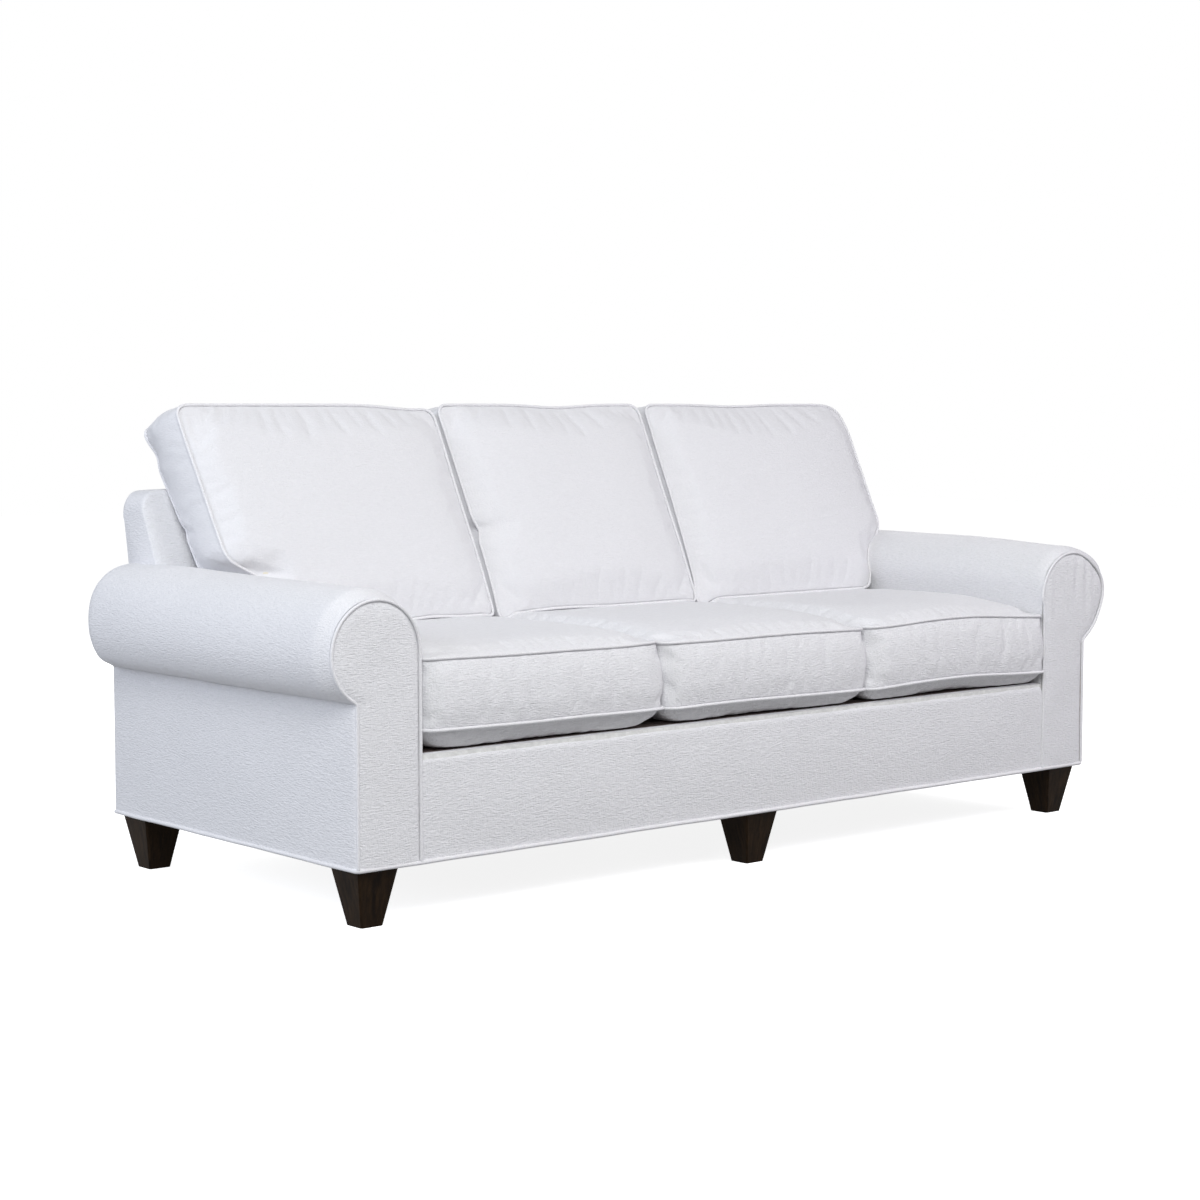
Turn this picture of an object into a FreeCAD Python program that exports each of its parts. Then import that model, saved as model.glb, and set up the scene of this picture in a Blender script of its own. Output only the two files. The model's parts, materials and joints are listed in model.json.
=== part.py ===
import FreeCAD, Part
import math
import os
import re
import Sketcher

# Three-cushion sofa with rolled arms, in millimetres.
# The origin is on the floor under the middle of the sofa. +X is to the right as seen from the front,
# the front faces -Y, and +Z is up. Left and right are as seen from the front.

doc = FreeCAD.newDocument("sofa")
sizes = doc.addObject("Spreadsheet::Sheet", "sizes")
Vector = FreeCAD.Vector

# Driving sizes, each written once
SIZES = (
    # The upholstered base and its legs
    ("base_width", 2050),
    ("base_depth", 862),
    ("leg_height", 110),
    ("deck_height", 312),
    ("cover_thickness", 3),
    ("welt_diameter", 6.5),
    # The rolled arms
    ("arm_width", 146),
    ("roll_radius", 100),
    ("roll_height", 502),
    ("arm_padding_thickness", 12),
    # The back frame that the loose cushions lean on
    ("back_height", 773),
    ("back_inset", 45),
    ("back_top_depth", 81),
    ("back_rake", 16),
    ("back_pitch", 22),
    ("back_padding_thickness", 20),
    ("back_edge_padding", 12),
    ("back_edge_radius", 20),
    # Wood
    ("rail_thickness", 25),
    ("post_thickness", 30),
    ("post_foot_depth", 60),
    ("centre_post_depth", 45),
    ("side_rail_height", 150),
    ("stretcher_thickness", 45),
    ("stretcher_height", 84),
    ("tacking_rail_height", 48),
    ("top_rail_height", 40),
    ("roll_rail_height", 30),
    ("leg_block_width", 90),
    ("leg_block_depth", 80),
    ("leg_block_height", 40),
    # Seat suspension
    ("spring_wire", 4),
    ("spring_loop_width", 46),
    ("springs_per_seat", 4),
    ("spring_loops", 20),
    ("clip_sheet", 1),
    ("clip_width", 24),
    ("clip_reach", 8),
    ("deck_pad_thickness", 14),
    ("deck_border_depth", 48),
    ("webbing_width", 50),
    ("webbing_thickness", 2),
    ("webbing_straps", 9),
    ("dust_cover_thickness", 1.5),
    # Legs and their fasteners
    ("leg_top", 91),
    ("leg_foot", 48.5),
    ("leg_inset", 12),
    ("leg_edge_chamfer", 3),
    ("bolt_radius", 4),
    ("bolt_depth", 35),
    ("bolt_clearance", 0.5),
    ("nut_radius", 8),
    ("nut_height", 6.5),
    # Loose cushions
    ("seats", 3),
    ("cushion_clearance", 0.3),
    ("cushion_wrap", 28),
    ("seat_overhang", 16),
    ("seat_lower_crown", 36),
    ("seat_boxing", 130),
    ("seat_upper_crown", 27),
    ("seat_corner_radius", 22),
    ("seat_draw", 5),
    ("back_cushion_lean", 26.5),
    ("back_cushion_length", 500),
    ("back_cushion_top", 945),
    ("back_cushion_boxing", 142),
    ("back_cushion_front_crown", 30),
    ("back_cushion_rear_crown", 8),
    ("back_cushion_taper", 9),
    ("back_cushion_flare", 71),
    ("back_cushion_corner_radius", 34),
    ("back_cushion_draw", 6),
    # Cutting tools run past what they cut by this much
    ("overrun", 60),
)

# Sizes worked out from the driving ones
DERIVED = (
    ("half_base", "base_width / 2"),
    ("half_depth", "base_depth / 2"),
    ("cover_foot", "leg_height + welt_diameter"),
    ("frame_foot", "leg_height + dust_cover_thickness"),
    ("deck_cover_foot", "deck_height - cover_thickness"),
    ("deck_pad_foot", "deck_cover_foot - deck_pad_thickness"),
    ("wire_foot", "deck_pad_foot - clip_sheet - spring_wire"),
    ("rail_top", "wire_foot - clip_sheet"),
    # Across the arm, on the right-hand side
    ("arm_inner", "half_base - arm_width"),
    ("roll_centre", "arm_inner + roll_radius"),
    ("padding_inner", "arm_inner + cover_thickness"),
    ("board_inner", "padding_inner + arm_padding_thickness"),
    ("board_outer", "half_base - cover_thickness"),
    ("padding_radius", "roll_radius - cover_thickness"),
    ("board_radius", "padding_radius - arm_padding_thickness"),
    ("roll_top", "roll_height + roll_radius"),
    ("roll_reach", "half_base - roll_centre"),
    ("notch_height", "roll_height - sqrt(roll_radius ^ 2 - roll_reach ^ 2)"),
    # Front to back
    ("frame_front", "half_depth - cover_thickness"),
    ("rail_back", "frame_front - rail_thickness"),
    # The leaning front of the back, as a line of y over z
    ("back_half", "half_base - back_inset"),
    ("pitch_slope", "tan(back_pitch)"),
    ("pitch_stretch", "1 / cos(back_pitch)"),
    ("back_top_rear", "half_depth + back_rake"),
    ("back_top_front", "back_top_rear - back_top_depth"),
    ("pitch_foot", "back_top_front - back_height * pitch_slope"),
    ("padding_front", "pitch_foot + cover_thickness * pitch_stretch"),
    ("webbing_front", "padding_front + back_padding_thickness * pitch_stretch"),
    ("wood_front", "webbing_front + webbing_thickness * pitch_stretch"),
    ("rake_slope", "back_rake / (back_height - roll_top)"),
    ("padding_top", "back_height - cover_thickness"),
    ("wood_top", "padding_top - back_edge_padding"),
    ("post_top", "wood_top - top_rail_height"),
    ("wood_half", "back_half - cover_thickness - back_edge_padding"),
    ("post_outer", "arm_inner"),
    ("post_inner", "post_outer - post_thickness"),
    ("stretcher_top", "frame_foot + stretcher_height"),
    ("deck_rear", "pitch_foot + deck_pad_foot * pitch_slope"),
    ("spring_rail_front", "wood_front + rail_top * pitch_slope"),
    ("lower_rail_foot", "deck_pad_foot + cover_thickness"),
    ("lower_rail_top", "lower_rail_foot + tacking_rail_height"),
    ("lower_rail_front", "wood_front + lower_rail_top * pitch_slope"),
    # Legs
    ("leg_out", "half_base - leg_inset - leg_top / 2"),
    ("leg_forward", "half_depth - leg_inset - leg_top / 2"),
    ("block_top", "frame_foot + leg_block_height"),
    # Seat cushions
    ("seat_pitch", "2 * arm_inner / seats"),
    ("seat_front", "-half_depth - seat_overhang"),
    ("seat_lower_welt", "deck_height + cushion_clearance + seat_lower_crown"),
    ("seat_upper_welt", "seat_lower_welt + seat_boxing"),
    ("seat_height", "seat_upper_welt + seat_upper_crown"),
    ("seat_rear", "pitch_foot + seat_lower_welt * pitch_slope - cushion_clearance"),
    # Back cushions, set back to the rounded top edge of the back
    ("lean_sine", "sin(back_cushion_lean)"),
    ("lean_cosine", "cos(back_cushion_lean)"),
    ("edge_height", "back_height - back_edge_radius"),
    ("edge_centre", "pitch_foot + edge_height * pitch_slope + back_edge_radius * pitch_stretch"),
    ("back_cushion_welt", "back_cushion_rear_crown + back_cushion_boxing"),
    ("lean_origin_height", "back_cushion_top - back_cushion_welt * lean_sine"),
    ("lean_reach", "(lean_origin_height - edge_height) * lean_sine - back_edge_radius - cushion_clearance"),
    ("lean_origin", "edge_centre + lean_reach / lean_cosine"),
    ("back_cushion_foot", "seat_height + cushion_clearance"),
)


def fill_sheet():
    for row, (name, value) in enumerate(SIZES + DERIVED, start=1):
        sizes.set(f"A{row}", name)
        text = f"={value}" if isinstance(value, str) else str(value)
        sizes.set(f"B{row}", text)
        sizes.setAlias(f"B{row}", name)
    doc.recompute()


fill_sheet()
NAMES = {name for name, value in SIZES + DERIVED}


def spelled(text):
    """An expression with each size's name read from the sheet."""
    return re.sub(r"[a-z]+(?:_[a-z]+)*", lambda m: f"sizes.{m[0]}" if m[0] in NAMES else m[0], text)


def value(text):
    """The number that an expression of sizes gives."""
    found = sizes.evalExpression(spelled(text))
    return float(getattr(found, "Value", found))


def bind(item, **properties):
    for name, text in properties.items():
        item.setExpression(name, spelled(text))


def place(item, x="0", y="0", z="0"):
    for axis, text in zip("xyz", (x, y, z)):
        item.setExpression(f"Placement.Base.{axis}", spelled(text))


# Helpers for plain pieces

def box(label, x, y, z, length, width, height):
    item = doc.addObject("Part::Box", label)
    bind(item, Length=length, Width=width, Height=height)
    place(item, x, y, z)
    return item


def rod(label, x, y, z, radius, length, turn=None):
    """A cylinder along +Z, or turned to another axis."""
    item = doc.addObject("Part::Cylinder", label)
    if turn:
        item.Placement = FreeCAD.Placement(Vector(), turn)
    bind(item, Radius=radius, Height=length)
    place(item, x, y, z)
    return item


def joined(label, base, tool):
    item = doc.addObject("Part::Fuse", label)
    item.Base = base
    item.Tool = tool
    item.Refine = True
    return item


def cut(label, base, tool):
    item = doc.addObject("Part::Cut", label)
    item.Base = base
    item.Tool = tool
    item.Refine = True
    return item


def shared(label, base, tool):
    item = doc.addObject("Part::Common", label)
    item.Base = base
    item.Tool = tool
    item.Refine = True
    return item


def mirrored(label, source):
    """The left-hand twin of a right-hand piece."""
    item = doc.addObject("Part::Mirroring", label)
    item.Source = source
    item.Normal = Vector(1, 0, 0)
    return item


def group(label, items):
    item = doc.addObject("Part::Compound", label)
    item.Links = items
    return item


BACKWARD = FreeCAD.Rotation(Vector(1, 0, 0), -90)


def outline(body, name, plane, corners, offset="0"):
    """A sketch of straight sides whose corners are bound to the sheet."""
    sketch = body.newObject("Sketcher::SketchObject", name)
    features = body.Origin.OriginFeatures
    sketch.AttachmentSupport = [(next(f for f in features if f.Role == plane), "")]
    sketch.MapMode = "FlatFace"
    sketch.setExpression("AttachmentOffset.Base.z", spelled(offset))
    points = [Vector(value(across), value(up), 0) for across, up in corners]
    count = len(points)
    for i in range(count):
        sketch.addGeometry(Part.LineSegment(points[i], points[(i + 1) % count]))
    for i in range(count):
        sketch.addConstraint(Sketcher.Constraint("Coincident", i, 2, (i + 1) % count, 1))
    for i, (across, up) in enumerate(corners):
        for kind, text, number in (("DistanceX", across, points[i].x), ("DistanceY", up, points[i].y)):
            index = sketch.addConstraint(Sketcher.Constraint(kind, -1, 1, i, 1, number))
            sketch.setExpression(f"Constraints[{index}]", spelled(text))
    return sketch


def side_profile(label, corners, width, x=None):
    """A board sawn to an outline of (y, z): centred across the sofa, or with its left face at x."""
    body = doc.addObject("PartDesign::Body", label)
    sketch = outline(body, f"{label}_profile", "YZ_Plane", corners)
    pad = body.newObject("PartDesign::Pad", f"{label}_pad")
    pad.Profile = sketch
    bind(pad, Length=width)
    if x is None:
        pad.SideType = "Symmetric"
    else:
        place(body, x)
    return body


nodes = []


def keep(*items):
    nodes.extend(items)


def keep_pair(name, right):
    """Keep a right-hand piece and its mirrored twin."""
    keep(right, mirrored(f"left_{name}", right))


# The base frame of hardwood rails

def rails():
    frame_height = "rail_top - frame_foot"
    keep(
        box("front_rail", "-board_inner", "-frame_front", "frame_foot",
            "2 * board_inner", "rail_thickness", frame_height),
        box("rear_rail", "-board_inner", "rail_back", "frame_foot",
            "2 * board_inner", "rail_thickness", frame_height),
        box("spring_rail", "-post_inner", "spring_rail_front", "stretcher_top",
            "2 * post_inner", "rail_thickness", "rail_top - stretcher_top"),
    )
    side = box("right_side_rail", "board_outer - rail_thickness", "-rail_back", "frame_foot",
               "rail_thickness", "2 * rail_back", "side_rail_height")
    keep(group("side_rails", [side, mirrored("left_side_rail", side)]))
    stretcher = box("right_stretcher", "(seat_pitch - stretcher_thickness) / 2", "-rail_back",
                    "frame_foot", "stretcher_thickness", "2 * rail_back", "stretcher_height")
    keep(group("seat_stretchers", [stretcher, mirrored("left_stretcher", stretcher)]))


# The arms: a wall with a round head, so every layer is the same form at another offset

def arm_form(label, inner, outer, head, front, rear, foot):
    wall = box(f"{label}_wall", inner, front, foot,
               f"{outer} - ({inner})", f"{rear} - ({front})", f"roll_height - ({foot})")
    roll = rod(f"{label}_roll", "roll_centre", front, "roll_height",
               head, f"{rear} - ({front})", BACKWARD)
    return joined(label, wall, roll)


def arm_frame():
    front = arm_form("right_arm_front_board", "board_inner", "board_outer", "board_radius",
                     "-frame_front", "-rail_back", "frame_foot")
    rear = arm_form("right_arm_rear_board", "board_inner", "board_outer", "board_radius",
                    "rail_back", "frame_front", "frame_foot")
    keep_pair("arm_front_board", front)
    keep_pair("arm_rear_board", rear)
    length = "2 * rail_back"
    head = rod("roll_rail_round", "roll_centre", "-rail_back", "roll_height",
               "board_radius", length, BACKWARD)
    slab = box("roll_rail_slab", "roll_centre - board_radius", "-rail_back",
               "roll_height + board_radius - roll_rail_height",
               "2 * board_radius", length, "roll_rail_height")
    top = shared("right_arm_top_rail", head, slab)
    keep(group("arm_top_rails", [top, mirrored("left_arm_top_rail", top)]))
    lower = box("right_arm_lower_rail", "board_inner", "-rail_back", "rail_top",
                "rail_thickness", length, "tacking_rail_height")
    keep(group("arm_lower_rails", [lower, mirrored("left_arm_lower_rail", lower)]))
    outer = box("right_arm_outer_rail", "board_outer - rail_thickness", "-rail_back",
                "notch_height - cover_thickness - tacking_rail_height",
                "rail_thickness", length, "tacking_rail_height")
    keep(group("arm_outer_rails", [outer, mirrored("left_arm_outer_rail", outer)]))


def arm_upholstery():
    core = arm_form("arm_core", "board_inner", "board_outer", "board_radius",
                    "-frame_front - overrun", "frame_front + overrun", "rail_top - overrun")
    padding = arm_form("arm_padding_form", "padding_inner", "board_outer", "padding_radius",
                       "-frame_front", "frame_front", "rail_top")
    keep_pair("arm_padding", cut("right_arm_padding", padding, core))
    inside = arm_form("arm_cover_inside", "padding_inner", "board_outer", "padding_radius",
                      "-frame_front - overrun", "frame_front + overrun", "rail_top - overrun")
    cover = arm_form("arm_cover_form", "arm_inner", "board_outer", "roll_radius",
                     "-frame_front", "frame_front", "rail_top")
    keep_pair("arm_cover", cut("right_arm_cover", cover, inside))
    panel = box("outer_panel_sheet", "board_outer", "-frame_front", "cover_foot",
                "cover_thickness", "2 * frame_front", "roll_height - cover_foot")
    roll = rod("outer_panel_roll", "roll_centre", "-frame_front - overrun", "roll_height",
               "roll_radius", "2 * frame_front + 2 * overrun", BACKWARD)
    keep_pair("outer_arm_panel", cut("right_outer_arm_panel", panel, roll))
    facing = arm_form("right_arm_front_panel", "arm_inner + welt_diameter",
                      "half_base - welt_diameter", "roll_radius - welt_diameter",
                      "-half_depth", "-frame_front", "cover_foot")
    keep_pair("arm_front_panel", facing)


# The back: posts and rails, webbing, padding, and the covers over them

def on_pitch(offset, height):
    """The (y, z) place on a layer of the leaning front at a height."""
    return (f"{offset} + ({height}) * pitch_slope", height)


def on_rake(inset, height):
    """The (y, z) place on the raking rear face at a height above the rolls."""
    return (f"half_depth - ({inset}) + (({height}) - roll_top) * rake_slope", height)


def back_frame():
    post = side_profile("right_back_post", (
        ("rail_back - post_foot_depth", "frame_foot"),
        ("rail_back", "frame_foot"),
        ("rail_back", "rail_top"),
        ("frame_front", "rail_top"),
        ("frame_front", "roll_top"),
        on_rake("cover_thickness", "post_top"),
        on_pitch("wood_front", "post_top"),
        on_pitch("wood_front", "rail_top"),
    ), "post_thickness", "post_inner")
    keep_pair("back_post", post)
    centre = side_profile("right_centre_post", (
        ("frame_front - centre_post_depth", "rail_top"),
        ("frame_front", "rail_top"),
        ("frame_front", "roll_top"),
        on_rake("cover_thickness", "post_top"),
        on_rake("cover_thickness + centre_post_depth", "post_top"),
        ("frame_front - centre_post_depth", "roll_top"),
    ), "post_thickness", "(seat_pitch - post_thickness) / 2")
    keep(group("centre_posts", [centre, mirrored("left_centre_post", centre)]))
    keep(side_profile("back_top_rail", (
        on_pitch("wood_front", "post_top"),
        on_rake("cover_thickness", "post_top"),
        on_rake("cover_thickness", "wood_top"),
        on_pitch("wood_front", "wood_top"),
    ), "2 * wood_half"))
    keep(box("back_lower_rail", "-post_inner", "lower_rail_front", "lower_rail_foot",
             "2 * post_inner", "rail_thickness", "tacking_rail_height"))
    block = side_profile("wing_block_form", (
        on_pitch("wood_front", "roll_height"),
        ("frame_front", "roll_height"),
        ("frame_front", "roll_top"),
        on_rake("cover_thickness", "post_top"),
        on_pitch("wood_front", "post_top"),
    ), "post_thickness", "wood_half - post_thickness")
    roll = rod("wing_block_seat", "roll_centre", "-half_depth", "roll_height",
               "roll_radius", "2 * half_depth + overrun", BACKWARD)
    wing = cut("right_wing_block", block, roll)
    keep(group("wing_blocks", [wing, mirrored("left_wing_block", wing)]))


def back_webbing():
    """Vertical straps, tacked to the fronts of the lower and top rails."""
    straps = []
    low, high = "lower_rail_top - tacking_rail_height / 2", "wood_top - top_rail_height / 4"
    count = int(value("webbing_straps"))
    for i in range(count):
        share = f"{2 * i + 1 - count} / {count}"
        straps.append(side_profile(f"back_strap_{i + 1}", (
            on_pitch("webbing_front", low),
            on_pitch("wood_front", low),
            on_pitch("wood_front", high),
            on_pitch("webbing_front", high),
        ), "webbing_width", f"post_inner * {share} - webbing_width / 2"))
    rail = box("strap_trim", "-back_half", "lower_rail_front", "lower_rail_foot",
               "2 * back_half", "rail_thickness", "tacking_rail_height")
    trimmed = [cut(f"trimmed_strap_{i + 1}", strap, rail) for i, strap in enumerate(straps)]
    keep(group("back_webbing", trimmed))


def arm_clearing(label, clearance="0"):
    """Both arms as solid cutting tools that run out past everything."""
    right = arm_form(f"right_{label}", f"arm_inner - {clearance}", "half_base + overrun",
                     f"roll_radius + {clearance}", "-half_depth - overrun",
                     "half_depth + overrun", "frame_foot - overrun")
    return right, mirrored(f"left_{label}", right)


def picked(base, wanted):
    """The names of a feature's edges that the test wants."""
    doc.recompute()
    return [f"Edge{i + 1}" for i, edge in enumerate(base.Shape.Edges) if wanted(edge)]


def rounded(body, base, name, radius, wanted):
    fillet = body.newObject("PartDesign::Fillet", name)
    fillet.Base = (base, picked(base, wanted))
    bind(fillet, Radius=radius)
    return fillet


def near(first, second):
    return round(first - second, 3) == 0


def back_envelope(label, front, top, side, rear, foot, radius):
    """The padded back as one solid, at one of its layers."""
    body = side_profile(label, (
        on_pitch(front, foot),
        (f"half_depth - ({rear})", foot),
        (f"half_depth - ({rear})", "roll_top"),
        on_rake(rear, top),
        on_pitch(front, top),
    ), f"2 * ({side})")
    front_y, slope, top_z, side_x = value(front), value("pitch_slope"), value(top), value(side)

    def between_two_faces(edge):
        ends = [vertex.Point for vertex in edge.Vertexes]
        return 2 == sum((
            all(near(p.z, top_z) for p in ends),
            all(near(abs(p.x), side_x) for p in ends),
            all(near(p.y, front_y + p.z * slope) for p in ends),
        ))

    rounded(body, body.Tip, f"{label}_rounding", radius, between_two_faces)
    return body


def back_upholstery():
    clear_right, clear_left = arm_clearing("back_clearing")
    outer = back_envelope("back_cover_form", "pitch_foot", "back_height", "back_half",
                          "cover_thickness", "deck_pad_foot", "back_edge_radius")
    inner = back_envelope("back_cover_inside", "padding_front", "padding_top",
                          "back_half - cover_thickness", "cover_thickness - overrun",
                          "deck_pad_foot - overrun", "back_edge_radius - cover_thickness")
    shell = cut("back_cover_shell", outer, inner)
    half = cut("back_cover_half", shell, clear_right)
    keep(cut("inside_back_cover", half, clear_left))
    pad = back_envelope("back_padding_form", "padding_front", "padding_top",
                        "back_half - cover_thickness", "cover_thickness",
                        "deck_pad_foot", "back_edge_radius - cover_thickness")
    space = side_profile("back_padding_space", (
        on_pitch("webbing_front", "deck_pad_foot - overrun"),
        ("half_depth + overrun", "deck_pad_foot - overrun"),
        ("half_depth + overrun", "wood_top"),
        on_pitch("webbing_front", "wood_top"),
    ), "2 * wood_half")
    layer = cut("back_padding_shell", pad, space)
    first = cut("back_padding_half", layer, clear_right)
    keep(cut("back_padding", first, clear_left))


def outside_back():
    """One raking panel cut to the outline of the rear: base, both rolls and the back above them."""
    sheet = side_profile("outside_back_sheet", (
        ("frame_front", "cover_foot"),
        ("half_depth", "cover_foot"),
        ("half_depth", "roll_top"),
        on_rake("0", "back_height"),
        on_rake("cover_thickness", "back_height"),
        ("frame_front", "roll_top"),
    ), "base_width + 2 * roll_radius")
    right = arm_form("rear_outline_arm", "0", "half_base", "roll_radius",
                     "half_depth - overrun", "half_depth + overrun", "cover_foot")
    left = mirrored("rear_outline_left_arm", right)
    body = doc.addObject("PartDesign::Body", "rear_outline_top")
    sketch = outline(body, "rear_outline_profile", "XZ_Plane", (
        ("-back_half", "cover_foot"), ("back_half", "cover_foot"),
        ("back_half", "back_height"), ("-back_half", "back_height")))
    pad = body.newObject("PartDesign::Pad", "rear_outline_pad")
    pad.Profile = sketch
    pad.SideType = "Symmetric"
    bind(pad, Length="base_depth + 2 * overrun")
    top_z = value("back_height")
    rounded(body, pad, "rear_outline_rounding", "back_edge_radius",
            lambda edge: all(near(v.Point.z, top_z) for v in edge.Vertexes)
            and near(edge.Vertexes[0].Point.x, edge.Vertexes[-1].Point.x))
    arms = joined("rear_outline_arms", right, left)
    keep(shared("outside_back_panel", sheet, joined("rear_outline", arms, body)))


# Deck, front border and dust cover

def deck():
    keep(
        box("deck_pad", "-arm_inner", "-frame_front", "deck_pad_foot",
            "2 * arm_inner", "frame_front + deck_rear", "deck_pad_thickness"),
        box("deck_cover", "-arm_inner", "deck_border_depth - half_depth", "deck_cover_foot",
            "2 * arm_inner", "half_depth - deck_border_depth + deck_rear", "cover_thickness"),
        side_profile("front_rail_cover", (
            ("-half_depth", "cover_foot"),
            ("-frame_front", "cover_foot"),
            ("-frame_front", "deck_cover_foot"),
            ("deck_border_depth - half_depth", "deck_cover_foot"),
            ("deck_border_depth - half_depth", "deck_height"),
            ("-half_depth", "deck_height"),
        ), "2 * arm_inner"),
    )


# Seat springs: sinuous wire hooked into clips on the front rail and the spring rail

def spring_places():
    """The middle of each spring, across the sofa."""
    count = int(value("seats * springs_per_seat"))
    pitch = value("2 * arm_inner") / count
    return [pitch * (i - (count - 1) / 2) for i in range(count)]


def sinuous_wire(front, rear, width, wire, loops, height):
    """A flat zigzag of wire: cross runs joined by short runs on alternate sides, mitred at the turns."""
    pitch = (rear - front) / loops
    route = []
    for i in range(loops + 1):
        side = 1 if i % 2 else -1
        route.append(Vector(side * width / 2, front + i * pitch, height))
        route.append(Vector(-side * width / 2, front + i * pitch, height))
    left, right = [], []
    for i, point in enumerate(route):
        normals = []
        for a, b in ((i - 1, i), (i, i + 1)):
            if a >= 0 and b < len(route):
                run = (route[b] - route[a]).normalize()
                normals.append(Vector(-run.y, run.x, 0))
        shift = normals[0] + normals[-1] if len(normals) == 2 else normals[0]
        left.append(point + shift * (wire / 2))
        right.append(point - shift * (wire / 2))
    ring = left + right[::-1]
    face = Part.Face(Part.makePolygon(ring + ring[:1]))
    return face.extrude(Vector(0, 0, wire))


def seat_springs():
    wire = value("spring_wire")
    seat = value("clip_sheet + spring_wire / 2")
    front = value("-rail_back") - seat - wire
    rear = value("spring_rail_front") + seat + wire
    solid = sinuous_wire(front, rear, value("spring_loop_width - spring_wire"), wire,
                         int(value("spring_loops")), value("wire_foot"))
    sheet, reach = value("clip_sheet"), value("clip_reach")
    springs, clips = [], []
    for i, x in enumerate(spring_places(), start=1):
        spring = doc.addObject("Part::Feature", f"seat_spring_{i}")
        spring.Shape = solid
        spring.Placement.Base = Vector(x, 0, 0)
        springs.append(spring)
        for end, y, way in (("front", front, 1), ("rear", rear, -1)):
            clip = doc.addObject("Part::Feature", f"{end}_clip_{i}")
            clip.Shape = spring_clip(way, wire, sheet, reach, value("clip_width"))
            clip.Placement.Base = Vector(x, y, value("rail_top"))
            clips.append(clip)
    keep(group("seat_springs", springs), group("spring_clips", clips))


def spring_clip(way, wire, sheet, reach, width):
    """A folded strip that holds the wire's end run, open on the side that the spring leaves by."""
    back = -way * (wire / 2 + sheet)
    fold = -way * wire / 2
    lip = way * reach
    low, high = sheet, sheet + wire
    ring = [(back, 0), (lip, 0), (lip, low), (fold, low), (fold, high), (lip, high),
            (lip, high + sheet), (back, high + sheet)]
    points = [Vector(-width / 2, y, z) for y, z in ring]
    face = Part.Face(Part.makePolygon(points + points[:1]))
    return face.extrude(Vector(width, 0, 0))


# Legs, and the blocks, bolts and nuts that hold them

# Each leg's name and the side it stands on: across the sofa, then front to back
LEG_PLACES = (
    ("front_left", -1, -1),
    ("front_centre", 0, -1),
    ("front_right", 1, -1),
    ("rear_left", -1, 1),
    ("rear_centre", 0, 1),
    ("rear_right", 1, 1),
)


def leg(label, x, y):
    """A square leg that tapers on all four sides, drilled from the top for its bolt."""
    body = doc.addObject("PartDesign::Body", f"{label}_leg")
    half = "leg_top / 2"
    corners = ((f"-{half}", f"-{half}"), (half, f"-{half}"), (half, half), (f"-{half}", half))
    top = outline(body, f"{label}_top", "XY_Plane", corners, "leg_height")
    blank = body.newObject("PartDesign::Pad", f"{label}_blank")
    blank.Profile = top
    blank.Reversed = True
    bind(blank, Length="leg_height")
    doc.recompute()
    flats = {f"Face{i + 1}": face for i, face in enumerate(blank.Shape.Faces)}
    taper = body.newObject("PartDesign::Draft", f"{label}_taper")
    taper.Base = (blank, [name for name, face in flats.items() if near(face.normalAt(0, 0).z, 0)])
    taper.NeutralPlane = (blank, [name for name, face in flats.items()
                                  if near(face.CenterOfMass.z, value("leg_height"))])
    bind(taper, Angle="atan((leg_top - leg_foot) / 2 / leg_height)")
    doc.recompute()
    if taper.Shape.Volume > blank.Shape.Volume:
        taper.Reversed = True
    softened = body.newObject("PartDesign::Chamfer", f"{label}_softening")
    softened.Base = (taper, picked(taper, lambda edge: not near(
        edge.Vertexes[0].Point.z, edge.Vertexes[-1].Point.z)))
    bind(softened, Size="leg_edge_chamfer")
    drill = body.newObject("Sketcher::SketchObject", f"{label}_drill")
    drill.AttachmentSupport = top.AttachmentSupport
    drill.MapMode = "FlatFace"
    drill.setExpression("AttachmentOffset.Base.z", spelled("leg_height"))
    drill.addGeometry(Part.Circle(Vector(), Vector(0, 0, 1), value("bolt_radius")))
    drill.addConstraint(Sketcher.Constraint("Coincident", 0, 3, -1, 1))
    index = drill.addConstraint(Sketcher.Constraint("Radius", 0, value("bolt_radius")))
    drill.setExpression(f"Constraints[{index}]", spelled("bolt_radius"))
    hole = body.newObject("PartDesign::Pocket", f"{label}_hole")
    hole.Profile = drill
    bind(hole, Length="bolt_depth")
    doc.recompute()
    if not hole.Shape.Volume < softened.Shape.Volume:
        raise ValueError(f"{label}: the bolt hole cut nothing")
    place(body, x, y)
    return body


def leg_nut(label, x, y):
    """A hexagon nut on top of the block, at the bolt's upper end."""
    blank = doc.addObject("Part::Prism", f"{label}_nut_blank")
    blank.Polygon = 6
    bind(blank, Circumradius="nut_radius", Height="nut_height")
    place(blank, x, y, "block_top")
    bore = rod(f"{label}_nut_bore", x, y, "block_top - overrun", "bolt_radius",
               "nut_height + 2 * overrun")
    return cut(f"{label}_nut", blank, bore)


def leg_block(label, side, end, x, y):
    """A hardwood block in the corner or against the rail, drilled for the bolt."""
    across = f"{side} * (board_outer - rail_thickness - leg_block_width / 2)"
    along = f"{end} * (rail_back - leg_block_depth / 2)"
    block = box(f"{label}_block_blank", f"{across} - leg_block_width / 2",
                f"{along} - leg_block_depth / 2", "frame_foot",
                "leg_block_width", "leg_block_depth", "leg_block_height")
    hole = rod(f"{label}_block_hole", x, y, "frame_foot - overrun",
               "bolt_radius + bolt_clearance", "leg_block_height + 2 * overrun")
    return cut(f"{label}_block", block, hole)


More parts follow.
